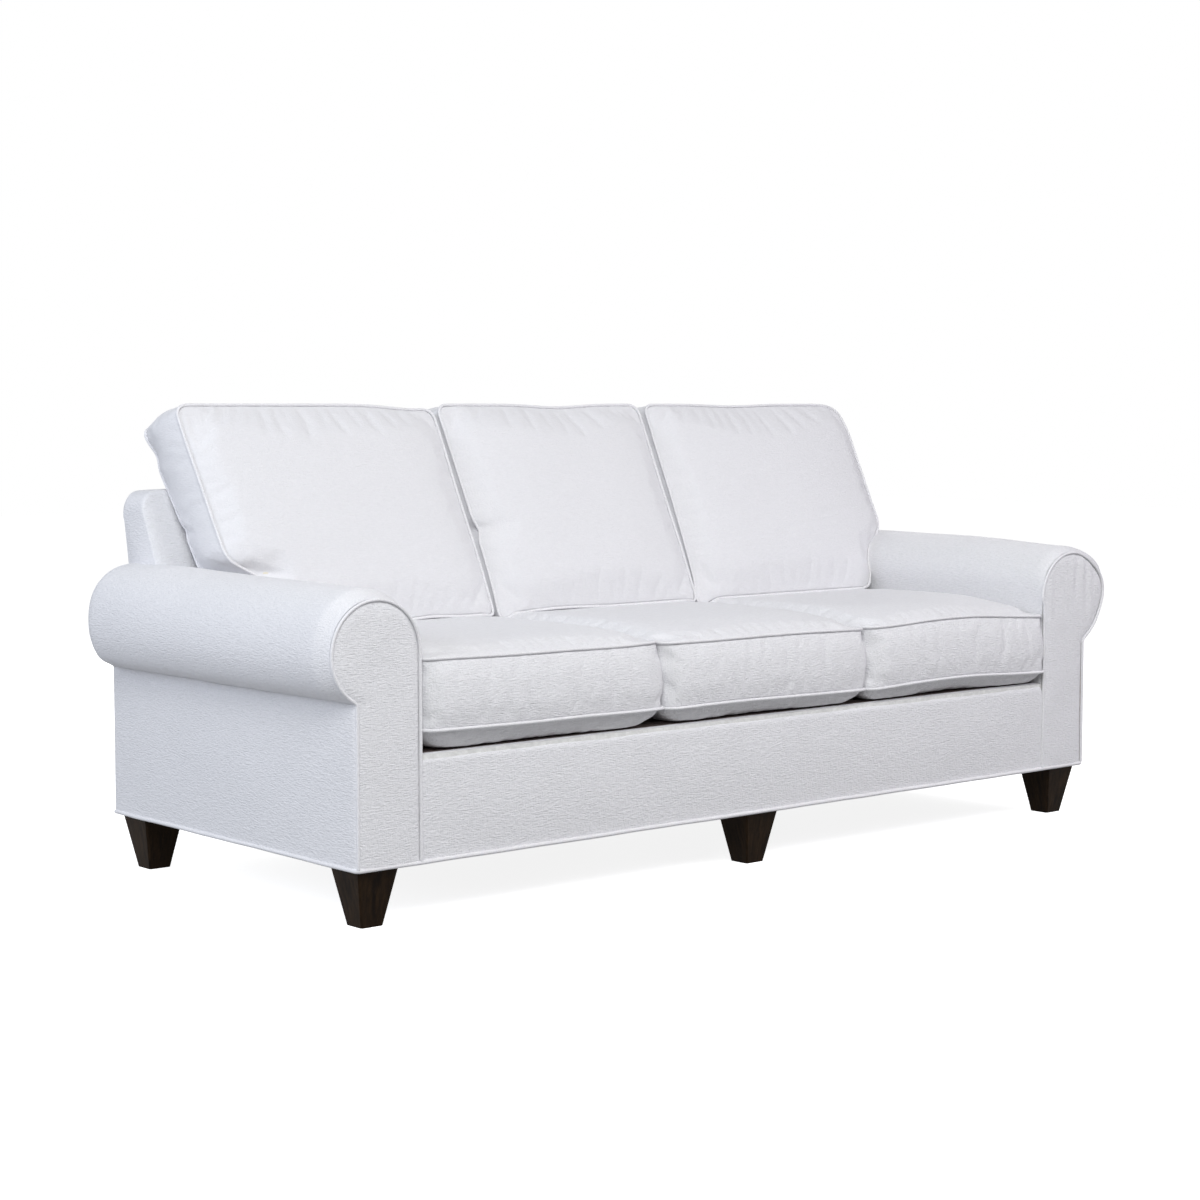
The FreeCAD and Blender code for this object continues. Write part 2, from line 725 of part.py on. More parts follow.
def legs():
    bolts, nuts, blocks, slits = [], [], [], []
    slit = "bolt_radius + bolt_clearance"
    for label, side, end in LEG_PLACES:
        x, y = f"{side} * leg_out", f"{end} * leg_forward"
        keep(leg(label, x, y))
        bolts.append(rod(f"{label}_bolt", x, y, "leg_height - bolt_depth", "bolt_radius",
                         "bolt_depth + block_top + nut_height - leg_height"))
        nuts.append(leg_nut(label, x, y))
        blocks.append(leg_block(label, side, end, x, y))
        slits.append(box(f"{label}_slit", f"{x} - ({slit})", f"{y} - ({slit})",
                         "leg_height - overrun", f"2 * ({slit})", f"2 * ({slit})", "2 * overrun"))
    keep(group("hanger_bolts", bolts), group("leg_nuts", nuts), group("leg_blocks", blocks))
    sheet = box("dust_cover_sheet", "-board_outer", "-frame_front", "leg_height",
                "2 * board_outer", "2 * frame_front", "dust_cover_thickness")
    keep(cut("dust_cover", sheet, group("dust_cover_slits", slits)))


# Welts: cord sewn into the seams round the arm fronts and along the foot of the base

WELT_SIDES = 6
MITRED = 1


def cord_section(radius, middle, across, up):
    """A welt's round section, drawn with a few flat sides."""
    points = []
    for i in range(WELT_SIDES + 1):
        angle = 2 * math.pi * (i % WELT_SIDES) / WELT_SIDES
        points.append(middle + (across * math.cos(angle) + up * math.sin(angle)) * radius)
    return Part.makePolygon(points)


def arm_welt():
    """Up the inside of the arm front, over the roll to the notch, and down the outside."""
    radius = value("welt_diameter / 2")
    y = value("-frame_front") - radius
    foot = value("cover_foot")
    inner, outer = value("arm_inner") + radius, value("half_base") - radius
    centre = Vector(value("roll_centre"), y, value("roll_height"))
    head = value("roll_radius") - radius
    drop = math.sqrt(head ** 2 - (outer - centre.x) ** 2)
    out, forward, lift = Vector(1, 0, 0), Vector(0, 1, 0), Vector(0, 0, 1)
    section = Part.Face(cord_section(radius, Vector(inner, y, foot), forward, out))
    up = section.extrude(lift * (centre.z - foot))
    section = Part.Face(cord_section(radius, Vector(inner, y, centre.z), forward, out))
    over = section.revolve(centre, forward, 180 + math.degrees(math.asin(drop / head)))
    section = Part.Face(cord_section(radius, Vector(outer, y, foot), forward, out))
    down = section.extrude(lift * (centre.z - drop - foot))
    return up.fuse([over, down])


def welts():
    right = doc.addObject("Part::Feature", "right_arm_welt")
    right.Shape = arm_welt()
    keep_pair("arm_welt", right)
    radius = value("welt_diameter / 2")
    across, along = value("board_outer") + radius, value("frame_front") + radius
    height = value("leg_height") + radius
    corners = [Vector(0, -along, height), Vector(across, -along, height),
               Vector(across, along, height), Vector(-across, along, height),
               Vector(-across, -along, height)]
    section = cord_section(radius, corners[0], Vector(0, 0, 1), Vector(0, 1, 0))
    base = doc.addObject("Part::Feature", "base_welt")
    base.Shape = Part.makePolygon(corners + corners[:1]).makePipeShell([section], True, False, MITRED)
    keep(base)


# Loose cushions: rounded outlines stacked into a crowned form, with sides drawn in between corners

CROWN_SIZE_SHARES = (0.90, 0.72, 0.47, 0.22)
CROWN_RISE_SHARES = (0.42, 0.76, 0.95, 1.0)
SIDE_STEPS = 4
CORNER_STEPS = 4


def pillow_outline(corners, radius, draw):
    """The points round a cushion: each side curves in by the draw, each corner is rounded."""
    count = len(corners)
    starts, ends = [], []
    for i, corner in enumerate(corners):
        after = corners[(i + 1) % count]
        run = (after - corner).normalize()
        starts.append(corner + run * radius)
        ends.append(after - run * radius)
    points = []
    for i in range(count):
        run = (ends[i] - starts[i]).normalize()
        inward = Vector(-run.y, run.x, 0) * draw
        for step in range(SIDE_STEPS):
            share = step / SIDE_STEPS
            along = starts[i] + (ends[i] - starts[i]) * share
            points.append(along + inward * (4 * share * (1 - share)))
        corner, after = corners[(i + 1) % count], starts[(i + 1) % count]
        for step in range(CORNER_STEPS):
            share = step / CORNER_STEPS
            points.append(ends[i] * (1 - share) ** 2 + corner * (2 * share * (1 - share))
                          + after * share ** 2)
    return points


def pillow(corners, low_crown, boxing, high_crown, radius, draw):
    """A box cushion lying flat with its lower crown down: its outline, drawn smaller up each crown."""
    points = pillow_outline(corners, radius, draw)
    middle = sum(corners[1:], corners[0]) / len(corners)
    levels = [(1, low_crown), (1, low_crown + boxing)]
    for size, rise in zip(CROWN_SIZE_SHARES, CROWN_RISE_SHARES):
        levels.insert(0, (size, low_crown * (1 - rise)))
        levels.append((size, low_crown + boxing + high_crown * rise))
    rings = []
    for size, height in levels:
        ring = [middle + (point - middle) * size + Vector(0, 0, height) for point in points]
        rings.append(Part.makePolygon(ring + ring[:1]))
    return with_flat_faces(Part.makeLoft(rings, True, True))


def with_flat_faces(shape):
    """The same solid with each face, flat because the rings are alike, kept as a plane."""
    planes = [Part.Face(Part.makePolygon([v.Point for v in face.OuterWire.OrderedVertexes]
                                         + [face.OuterWire.OrderedVertexes[0].Point]))
              for face in shape.Faces]
    return Part.Solid(Part.makeShell(planes))


def soft_form(label, shape):
    item = doc.addObject("Part::Feature", label)
    item.Shape = shape
    return item


SEAT_NAMES = ("left", "middle", "right")


def seat_cushions():
    for i, name in enumerate(SEAT_NAMES):
        low = f"-arm_inner + {i} * seat_pitch + cushion_clearance"
        x0, x1 = value(low), value(f"{low} + seat_pitch - 2 * cushion_clearance")
        y0, y1 = value("seat_front"), value("seat_rear")
        corners = [Vector(x0, y0, 0), Vector(x1, y0, 0), Vector(x1, y1, 0), Vector(x0, y1, 0)]
        shape = pillow(corners, value("seat_lower_crown"), value("seat_boxing"),
                       value("seat_upper_crown"), value("seat_corner_radius"), value("seat_draw"))
        form = soft_form(f"{name}_seat_form", shape)
        form.Placement.Base = Vector(0, 0, value("deck_height + cushion_clearance"))
        core = box(f"{name}_seat_filling", f"{low} + cushion_wrap", "seat_front + cushion_wrap",
                   "seat_lower_welt", "seat_pitch - 2 * cushion_clearance - 2 * cushion_wrap",
                   "seat_rear - seat_front - 2 * cushion_wrap", "seat_boxing")
        keep(cut(f"{name}_seat_cushion", form, core), core)


def back_cushions():
    turn = FreeCAD.Rotation(Vector(1, 0, 0), 90 - value("back_cushion_lean"))
    origin = Vector(0, value("lean_origin"), value("lean_origin_height"))
    length, taper = value("back_cushion_length"), value("back_cushion_taper")
    gap = value("cushion_clearance / 2")
    right, left = arm_clearing("cushion_clearing", "cushion_clearance")
    floor = box("cushion_floor", "-base_width", "-base_depth", "back_cushion_foot - seat_height",
                "2 * base_width", "2 * base_depth", "seat_height")
    for i, name in enumerate(SEAT_NAMES):
        x0 = value(f"-arm_inner + {i} * seat_pitch") + gap
        x1 = x0 + value("seat_pitch") - 2 * gap
        top0 = x0 + taper if i else x0 - value("back_cushion_flare")
        top1 = x1 - taper if i < len(SEAT_NAMES) - 1 else x1 + value("back_cushion_flare")
        corners = [Vector(x0, -length, 0), Vector(x1, -length, 0),
                   Vector(top1, 0, 0), Vector(top0, 0, 0)]
        shape = pillow(corners, value("back_cushion_rear_crown"), value("back_cushion_boxing"),
                       value("back_cushion_front_crown"), value("back_cushion_corner_radius"),
                       value("back_cushion_draw"))
        form = soft_form(f"{name}_back_form", shape)
        form.Placement = FreeCAD.Placement(origin, turn)
        rested = cut(f"{name}_back_rested", form, floor)
        if name == "right":
            rested = cut("right_back_trimmed", rested, right)
        if name == "left":
            rested = cut("left_back_trimmed", rested, left)
        filling = back_filling(name, x0, x1, turn, origin)
        keep(cut(f"{name}_back_cushion", rested, filling), filling)


def back_filling(name, x0, x1, turn, origin):
    """The filling: a block one wrap smaller than its cover, pressed flat at the foot."""
    wrap = value("cushion_wrap")
    length = value("back_cushion_length - 2 * cushion_wrap")
    depth = value("back_cushion_boxing - cushion_wrap")
    corner = Vector(x0 + wrap, -length - wrap, value("back_cushion_rear_crown") + wrap / 2)
    block = Part.makeBox(x1 - x0 - 2 * wrap, length, depth, corner)
    item = soft_form(f"{name}_back_block", block)
    item.Placement = FreeCAD.Placement(origin, turn)
    floor = box(f"{name}_back_block_floor", "-base_width", "-base_depth",
                "back_cushion_foot + cushion_wrap / 2 - seat_height",
                "2 * base_width", "2 * base_depth", "seat_height")
    return cut(f"{name}_back_filling", item, floor)


rails()
arm_frame()
arm_upholstery()
back_frame()
back_webbing()
back_upholstery()
outside_back()
deck()
seat_springs()
legs()
welts()
seat_cushions()
back_cushions()
doc.recompute()


def check_and_write():
    for item in doc.Objects:
        if "Invalid" in item.State or "Error" in item.State:
            raise ValueError(f"{item.Label} failed: {item.State}")
    os.makedirs("parts", exist_ok=True)
    whole = FreeCAD.BoundBox()
    for item in nodes:
        shape = item.Shape
        if shape.isNull() or not shape.isValid() or not shape.Solids:
            raise ValueError(f"{item.Label} has no sound solid")
        if any(solid.Volume <= 0 for solid in shape.Solids):
            raise ValueError(f"{item.Label} has an empty solid")
        whole.add(shape.BoundBox)
        shape.exportStep(f"parts/{item.Label}.step")
    print(len(nodes), "nodes in", whole)


check_and_write()
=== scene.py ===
# %% [markdown]
# # A three-cushion sofa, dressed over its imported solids
#
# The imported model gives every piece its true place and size, in metres: +X to the right, the front
# faces -Y, +Z is up. This file lays the soft, sewn skin over it: cushions, padded arms, panels and
# welts, then the materials, the studio and the camera. Each step first says what the real piece is.

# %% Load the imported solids
import json
import math

import bpy
import numpy as np
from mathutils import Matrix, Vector, noise


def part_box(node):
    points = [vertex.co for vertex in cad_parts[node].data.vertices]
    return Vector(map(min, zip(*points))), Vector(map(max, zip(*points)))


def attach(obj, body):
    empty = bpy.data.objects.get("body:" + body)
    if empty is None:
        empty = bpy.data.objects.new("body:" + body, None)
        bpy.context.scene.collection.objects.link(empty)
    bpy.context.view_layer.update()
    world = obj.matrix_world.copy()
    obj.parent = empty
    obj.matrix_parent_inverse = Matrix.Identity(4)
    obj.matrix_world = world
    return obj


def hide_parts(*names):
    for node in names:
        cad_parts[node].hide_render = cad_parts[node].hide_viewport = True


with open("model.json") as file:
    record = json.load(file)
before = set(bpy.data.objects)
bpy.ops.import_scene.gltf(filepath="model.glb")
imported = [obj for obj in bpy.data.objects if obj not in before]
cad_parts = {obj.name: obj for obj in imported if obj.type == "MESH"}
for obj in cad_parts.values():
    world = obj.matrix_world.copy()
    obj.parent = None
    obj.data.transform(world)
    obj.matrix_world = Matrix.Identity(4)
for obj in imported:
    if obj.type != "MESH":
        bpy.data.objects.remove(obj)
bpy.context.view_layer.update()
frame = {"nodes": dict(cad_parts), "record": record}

scene = bpy.context.scene

# %% [markdown]
# ## Camera
#
# The photograph is taken from the front left, a little above seat height, with a long lens. Its place
# and lens were worked out from the sofa's own corners, so the render lines up with the photograph.

# %% Camera
camera = bpy.data.objects.new("camera", bpy.data.cameras.new("camera"))
camera.data.lens = 73.25
camera.data.sensor_width = 36
camera.location = (-3.500, -3.982, 0.945)
camera.rotation_euler = Vector((0.6492, 0.7564, -0.0797)).to_track_quat("-Z", "Y").to_euler()
scene.collection.objects.link(camera)
scene.camera = camera
print("camera at", tuple(camera.location))

# %% [markdown]
# ## Studio
#
# A product studio lights white cloth with large soft boxes, so the folds show and nothing clips. The
# key light stands high at the front left, weaker ones in front, at the right and at the left end, and a
# last one behind keeps the rear readable. The floor and the room look white only to the camera and to
# reflections, through Light Path, so that the white background adds no light to the cloth.

# %% Lamps
scene.view_settings.view_transform = "Standard"


def soft_box(name, place, target, width, watts, colour):
    lamp = bpy.data.lights.new(name, "AREA")
    lamp.size = width
    lamp.energy = watts
    lamp.color = colour
    item = bpy.data.objects.new(name, lamp)
    item.location = place
    item.rotation_euler = (Vector(target) - Vector(place)).to_track_quat("-Z", "Y").to_euler()
    scene.collection.objects.link(item)
    return item


soft_box("key_light", (-3.0, -3.3, 3.5), (0, 0, 0.6), 2.2, 142, (0.957, 0.978, 1.0))
soft_box("front_light", (0.3, -2.6, 2.8), (0.1, 0, 0.6), 1.6, 27, (1.0, 1.0, 0.93))
soft_box("fill_light", (2.6, -3.2, 3.0), (0.2, 0, 0.5), 2.4, 56, (0.89, 0.85, 1.0))
soft_box("side_light", (-4.2, 0.6, 1.9), (-0.6, 0, 0.4), 2.0, 61, (0.81, 0.87, 1.0))
soft_box("rear_light", (2.4, 3.6, 1.7), (0.2, 0.3, 0.4), 2.4, 90, (1.0, 0.99, 0.98))


# %% Room and floor
def white_when_seen(tree, other, plain_white):
    """Mix another shader with plain white, for the camera and for reflections only."""
    path = tree.nodes.new("ShaderNodeLightPath")
    seen = path.outputs["Is Camera Ray"]
    for ray in ("Is Glossy Ray", "Is Transmission Ray"):
        either = tree.nodes.new("ShaderNodeMath")
        either.operation = "MAXIMUM"
        tree.links.new(seen, either.inputs[0])
        tree.links.new(path.outputs[ray], either.inputs[1])
        seen = either.outputs[0]
    mix = tree.nodes.new("ShaderNodeMixShader")
    tree.links.new(seen, mix.inputs[0])
    tree.links.new(other, mix.inputs[1])
    tree.links.new(plain_white, mix.inputs[2])
    return mix.outputs[0]


ROOM_STRENGTH = 0.21
world = bpy.data.worlds.new("room")
scene.world = world
world.use_nodes = True
room = world.node_tree
room.nodes.clear()
room_light = room.nodes.new("ShaderNodeBackground")
room_light.inputs["Color"].default_value = (1, 1, 1, 1)
room_light.inputs["Strength"].default_value = ROOM_STRENGTH
room_white = room.nodes.new("ShaderNodeBackground")
room_white.inputs["Color"].default_value = (1, 1, 1, 1)
room_out = room.nodes.new("ShaderNodeOutputWorld")
room.links.new(white_when_seen(room, room_light.outputs[0], room_white.outputs[0]), room_out.inputs[0])

FLOOR_BOUNCE, FLOOR_SHADE, FLOOR_GLOW = 0.38, 0.80, 0.87
floor_finish = bpy.data.materials.new("studio_floor")
floor_finish.use_nodes = True
tree = floor_finish.node_tree
tree.nodes.clear()
matte = tree.nodes.new("ShaderNodeBsdfDiffuse")
matte.inputs["Color"].default_value = (FLOOR_BOUNCE, FLOOR_BOUNCE, FLOOR_BOUNCE, 1)
shade = tree.nodes.new("ShaderNodeBsdfDiffuse")
shade.inputs["Color"].default_value = (FLOOR_SHADE, FLOOR_SHADE, FLOOR_SHADE, 1)
glow = tree.nodes.new("ShaderNodeEmission")
glow.inputs["Strength"].default_value = FLOOR_GLOW
both = tree.nodes.new("ShaderNodeAddShader")
tree.links.new(shade.outputs[0], both.inputs[0])
tree.links.new(glow.outputs[0], both.inputs[1])
floor_out = tree.nodes.new("ShaderNodeOutputMaterial")
tree.links.new(white_when_seen(tree, matte.outputs[0], both.outputs[0]), floor_out.inputs[0])

FLOOR_HALF = 15.0
floor_mesh = bpy.data.meshes.new("floor")
floor_mesh.from_pydata([(-FLOOR_HALF, -FLOOR_HALF, 0), (FLOOR_HALF, -FLOOR_HALF, 0),
                        (FLOOR_HALF, FLOOR_HALF, 0), (-FLOOR_HALF, FLOOR_HALF, 0)], [], [(0, 1, 2, 3)])
floor_mesh.materials.append(floor_finish)
floor = bpy.data.objects.new("floor", floor_mesh)
scene.collection.objects.link(floor)
print("studio: 5 soft boxes, white room, floor", 2 * FLOOR_HALF, "m wide")

# %% [markdown]
# ## Cloth
#
# The sofa wears an off-white plain weave with slubs: short thick places in the yarn that catch light
# as fine streaks about 1 cm long. An image would repeat, so the streaks are noise stretched along the
# yarn, in metres, the same size on every piece. The yarn runs across the sofa on what faces forward or
# up, and along the arm on what faces sideways: the surface's own direction picks between the two. The
# back cushions' cloth is pulled smooth over soft filling, so its streaks are fainter, and its tones are
# set a little darker than the rest: painted shade that dims the back cushions.


# %% Helpers for materials
def blank_finish(name):
    finish = bpy.data.materials.new(name)
    finish.use_nodes = True
    return finish, finish.node_tree, finish.node_tree.nodes["Principled BSDF"]


def stretched_noise(tree, place, scale, detail=3.0, roughness=0.6):
    """Noise over a place scaled by three numbers per metre."""
    spread = tree.nodes.new("ShaderNodeVectorMath")
    spread.operation = "MULTIPLY"
    spread.inputs[1].default_value = scale
    tree.links.new(place, spread.inputs[0])
    field = tree.nodes.new("ShaderNodeTexNoise")
    field.inputs["Scale"].default_value = 1
    field.inputs["Detail"].default_value = detail
    field.inputs["Roughness"].default_value = roughness
    tree.links.new(spread.outputs[0], field.inputs["Vector"])
    return field.outputs["Fac"]


def sum_of(tree, terms):
    """Add several fields, each times its weight."""
    total = None
    for field, weight in terms:
        step = tree.nodes.new("ShaderNodeMath")
        step.operation = "MULTIPLY_ADD"
        step.inputs[1].default_value = weight
        step.inputs[2].default_value = 0
        tree.links.new(field, step.inputs[0])
        if total:
            tree.links.new(total, step.inputs[2])
        total = step.outputs[0]
    return total


def two_tones(tree, field, low, high, dark, light):
    """Colour that goes from dark to light as the field goes from low to high."""
    ramp = tree.nodes.new("ShaderNodeValToRGB")
    ramp.color_ramp.elements[0].position = low
    ramp.color_ramp.elements[0].color = (*dark, 1)
    ramp.color_ramp.elements[1].position = high
    ramp.color_ramp.elements[1].color = (*light, 1)
    tree.links.new(field, ramp.inputs[0])
    return ramp.outputs[0]


def bumped(tree, shader, field, strength, depth):
    bump = tree.nodes.new("ShaderNodeBump")
    bump.inputs["Strength"].default_value = strength
    bump.inputs["Distance"].default_value = depth
    tree.links.new(field, bump.inputs["Height"])
    tree.links.new(bump.outputs[0], shader.inputs["Normal"])


def object_place(tree):
    return tree.nodes.new("ShaderNodeTexCoord").outputs["Object"]


def facing_sideways(tree):
    """1 where the surface faces left or right, 0 where it faces forward or up, soft in between."""
    facing = tree.nodes.new("ShaderNodeSeparateXYZ")
    tree.links.new(tree.nodes.new("ShaderNodeNewGeometry").outputs["Normal"], facing.inputs[0])
    size = tree.nodes.new("ShaderNodeMath")
    size.operation = "ABSOLUTE"
    tree.links.new(facing.outputs["X"], size.inputs[0])
    share = tree.nodes.new("ShaderNodeMapRange")
    share.inputs["From Min"].default_value = 0.55
    share.inputs["From Max"].default_value = 0.85
    tree.links.new(size.outputs[0], share.inputs["Value"])
    return share.outputs["Result"]


def either(tree, share, first, second):
    """The first field where the share is 0, the second where it is 1."""
    blend = tree.nodes.new("ShaderNodeMix")
    tree.links.new(share, blend.inputs["Factor"])
    tree.links.new(first, blend.inputs[2])
    tree.links.new(second, blend.inputs[3])
    return blend.outputs[0]


# %% Upholstery cloth
SLUB_FINE, SLUB_LONG = 380, 95
CROSS_FINE, CROSS_LONG = 420, 110
DEEP_RELIEF, FAINT_RELIEF = 0.0030, 0.0014


def slubbed_cloth(name, dark, light, along_arm=False, relief=DEEP_RELIEF):
    """Cloth whose yarn runs along the arm everywhere, or else as the surface's direction says."""
    finish, tree, shader = blank_finish(name)
    place = object_place(tree)
    slub = stretched_noise(tree, place, (SLUB_FINE, SLUB_LONG, SLUB_FINE), 1.0)
    cross = stretched_noise(tree, place, (CROSS_LONG, CROSS_FINE, CROSS_LONG), 0.0)
    if not along_arm:
        sideways = facing_sideways(tree)
        level_slub = stretched_noise(tree, place, (SLUB_LONG, SLUB_FINE, SLUB_FINE), 1.0)
        level_cross = stretched_noise(tree, place, (CROSS_FINE, CROSS_LONG, CROSS_LONG), 0.0)
        slub = either(tree, sideways, level_slub, slub)
        cross = either(tree, sideways, level_cross, cross)
    weave = sum_of(tree, ((slub, 0.75), (cross, 0.25)))
    tree.links.new(two_tones(tree, weave, 0.30, 0.70, dark, light), shader.inputs["Base Color"])
    shader.inputs["Roughness"].default_value = 0.92
    shader.inputs["Specular IOR Level"].default_value = 0.25
    shader.inputs["Sheen Weight"].default_value = 0.12
    shader.inputs["Sheen Roughness"].default_value = 0.6
    bumped(tree, shader, weave, 0.8, relief)
    return finish


CLOTH_DARK, CLOTH_LIGHT = (0.735, 0.733, 0.750), (0.800, 0.796, 0.812)
# The back tones average a little darker than the cloth's: painted shade on the back cushions.
BACK_DARK, BACK_LIGHT = (0.742, 0.740, 0.757), (0.778, 0.774, 0.790)
cushion_cloth = slubbed_cloth("slubbed_cloth", CLOTH_DARK, CLOTH_LIGHT)
arm_cloth = slubbed_cloth("slubbed_cloth_along_arm", CLOTH_DARK, CLOTH_LIGHT, along_arm=True)
back_cloth = slubbed_cloth("slubbed_cloth_backs", BACK_DARK, BACK_LIGHT, relief=FAINT_RELIEF)
print("cloth finishes:", cushion_cloth.name, arm_cloth.name, back_cloth.name)


# %% [markdown]
# The welts are cord wrapped in the same cloth cut on the bias, so their yarn runs round the cord. A
# fine, even noise is enough at 6 mm thick. Its two tones lie further apart than the cloth's, because a
# cord shows each crossing of the yarn.

# %% Welt cloth
def welt_finish():
    finish, tree, shader = blank_finish("welt_cloth")
    place = object_place(tree)
    yarn = stretched_noise(tree, place, (420, 420, 420), 2.0)
    tones = two_tones(tree, yarn, 0.35, 0.65, (0.73, 0.725, 0.74), (0.83, 0.825, 0.84))
    tree.links.new(tones, shader.inputs["Base Color"])
    shader.inputs["Roughness"].default_value = 0.9
    shader.inputs["Specular IOR Level"].default_value = 0.25
    bumped(tree, shader, yarn, 0.35, 0.0006)
    return finish


welt_cloth = welt_finish()


# %% [markdown]
# ## Legs and hidden materials
#
# The legs are solid wood under a dark espresso stain that dries nearly matt, so the grain runs down
# each leg and barely shows. The pieces inside the sofa get plain honest finishes too: sawn hardwood,
# white wadding, foam, wire, straps, black dust cloth, and the dark cloth of the deck under the seats.

# %% Wood, wadding, foam, steel and straps
def wood_finish(name, dark, light, roughness, shine, depth):
    finish, tree, shader = blank_finish(name)
    place = object_place(tree)
    grain = stretched_noise(tree, place, (150, 150, 7), 4.0)
    broad = stretched_noise(tree, place, (24, 24, 3), 2.0)
    field = sum_of(tree, ((grain, 0.6), (broad, 0.4)))
    tree.links.new(two_tones(tree, field, 0.36, 0.64, dark, light), shader.inputs["Base Color"])
    shader.inputs["Roughness"].default_value = roughness
    shader.inputs["Specular IOR Level"].default_value = shine
    bumped(tree, shader, grain, 0.25, depth)
    return finish


def soft_finish(name, dark, light, scale, depth):
    finish, tree, shader = blank_finish(name)
    field = stretched_noise(tree, object_place(tree), scale, 4.0)
    tree.links.new(two_tones(tree, field, 0.35, 0.65, dark, light), shader.inputs["Base Color"])
    shader.inputs["Roughness"].default_value = 0.95
    shader.inputs["Specular IOR Level"].default_value = 0.15
    bumped(tree, shader, field, 0.5, depth)
    return finish


def steel_finish(name, dark, light, roughness):
    finish, tree, shader = blank_finish(name)
    field = stretched_noise(tree, object_place(tree), (300, 300, 300), 3.0)
    tree.links.new(two_tones(tree, field, 0.35, 0.65, dark, light), shader.inputs["Base Color"])
    shader.inputs["Metallic"].default_value = 1
    shader.inputs["Roughness"].default_value = roughness
    bumped(tree, shader, field, 0.1, 0.0003)
    return finish


espresso_wood = wood_finish("espresso_wood", (0.0035, 0.0018, 0.0009), (0.024, 0.0135, 0.0065),
                            roughness=0.55, shine=0.04, depth=0.0008)
sawn_hardwood = wood_finish("sawn_hardwood", (0.36, 0.24, 0.14), (0.52, 0.37, 0.23),
                            roughness=0.75, shine=0.4, depth=0.001)
FINISHES = {
    "frame_wood": sawn_hardwood,
    "padding_wadding": soft_finish("white_wadding", (0.70, 0.70, 0.68), (0.84, 0.84, 0.82),
                                   (90, 90, 90), 0.002),
    "filling_foam": soft_finish("pale_foam", (0.66, 0.62, 0.50), (0.80, 0.76, 0.64),
                                (700, 700, 700), 0.0008),
    "webbing_cloth": soft_finish("woven_strap", (0.16, 0.12, 0.08), (0.28, 0.22, 0.15),
                                 (600, 120, 600), 0.0008),
    "dust_cloth": soft_finish("black_dust_cloth", (0.010, 0.010, 0.011), (0.025, 0.025, 0.027),
                              (260, 260, 260), 0.0005),
    # This dark finish also goes on the strip over the front rail, where it paints the shade of the gap
    # below the seats.
    "deck_cloth": soft_finish("deck_cloth", (0.13, 0.10, 0.09), (0.20, 0.16, 0.15),
                              (400, 400, 400), 0.0006),
    "spring_steel": steel_finish("spring_wire", (0.18, 0.18, 0.19), (0.30, 0.30, 0.31), 0.38),
    "fastener_steel": steel_finish("zinc_plate", (0.45, 0.44, 0.42), (0.62, 0.61, 0.58), 0.32),
    "leg_wood": espresso_wood,
    "upholstery_cloth": cushion_cloth,
    "welt_cloth": welt_cloth,
}
for part in frame["record"]["subparts"]:
    solid = frame["nodes"][part["node"]].data
    solid.materials.clear()
    solid.materials.append(FINISHES[part["material_slot"]])


# %% [markdown]
# ## Building pieces
#
# Every soft piece starts as a regular net of points, because a net can be laid exactly on the sizes
# and its edges can be found again: a welt then follows the very row of points that it is sewn to.

# %% Nets of points
def net_faces(rows, columns, closed=False, first=0):
    """Quads of a net of rows x columns points, numbered row by row."""
    faces = []
    for r in range(rows - 1):
        for c in range(columns if closed else columns - 1):
            near, after = first + r * columns, (c + 1) % columns
            faces.append((near + c, near + after, near + columns + after, near + columns + c))
    return faces


def new_piece(name, points, faces, finish, slot):
    mesh = bpy.data.meshes.new(name)
    mesh.from_pydata([tuple(map(float, p)) for p in points], [], faces)
    mesh.materials.append(finish)
    mesh.shade_smooth()
    item = bpy.data.objects.new(name, mesh)
    scene.collection.objects.link(item)
    return item


def new_welt(name, paths, radius=0.0032, closed=True):
    """A round cord along each path of points."""
    curve = bpy.data.curves.new(name, "CURVE")
    curve.dimensions = "3D"
    curve.bevel_depth = radius
    curve.bevel_resolution = 2
    curve.use_fill_caps = True
    for path in paths:
        spline = curve.splines.new("POLY")
        spline.points.add(len(path) - 1)
        spline.use_cyclic_u = closed
        for point, place in zip(spline.points, path):
            point.co = (*map(float, place), 1)
    curve.materials.append(welt_cloth)
    item = bpy.data.objects.new(name, curve)
    scene.collection.objects.link(item)
    return item


def wander(points, size, seed):
    """A smooth random number from -1 to 1 at each point, that changes over about a size in metres."""
    shift = Vector((seed * 3.7, seed * 1.3, seed * 2.1))
    return np.array([noise.noise(Vector(p) / size + shift) for p in points])


def smooth_step(x):
    x = np.clip(x, 0, 1)
    return x * x * (3 - 2 * x)


def ramp(value, start, end):
    """Goes smoothly from 0 to 1 while a value goes from the start to the end."""
    return smooth_step((value - start) / (end - start))


# %% [markdown]
# ## Box cushions
#
# A box cushion is two panels joined by a boxing strip, with a welt in each seam. Filling crowns the
# panels, and the seams hold the edge. Here each panel is a net whose corners are rounded, the boxing
# joins the two edges row by row, and the crown is a formula. A cloth simulation then does what a
# formula can't: with the seams pinned, a little spare cloth and some pressure from inside raise the
# soft gathers along the boxing and the puckers beside the welts.

# %% The net of a box cushion
def crown_share(s, power, ease):
    """The crown's height across a panel, from 0 at the seams to 1 in the middle."""
    return (1 - np.abs(2 * s - 1) ** power) ** ease


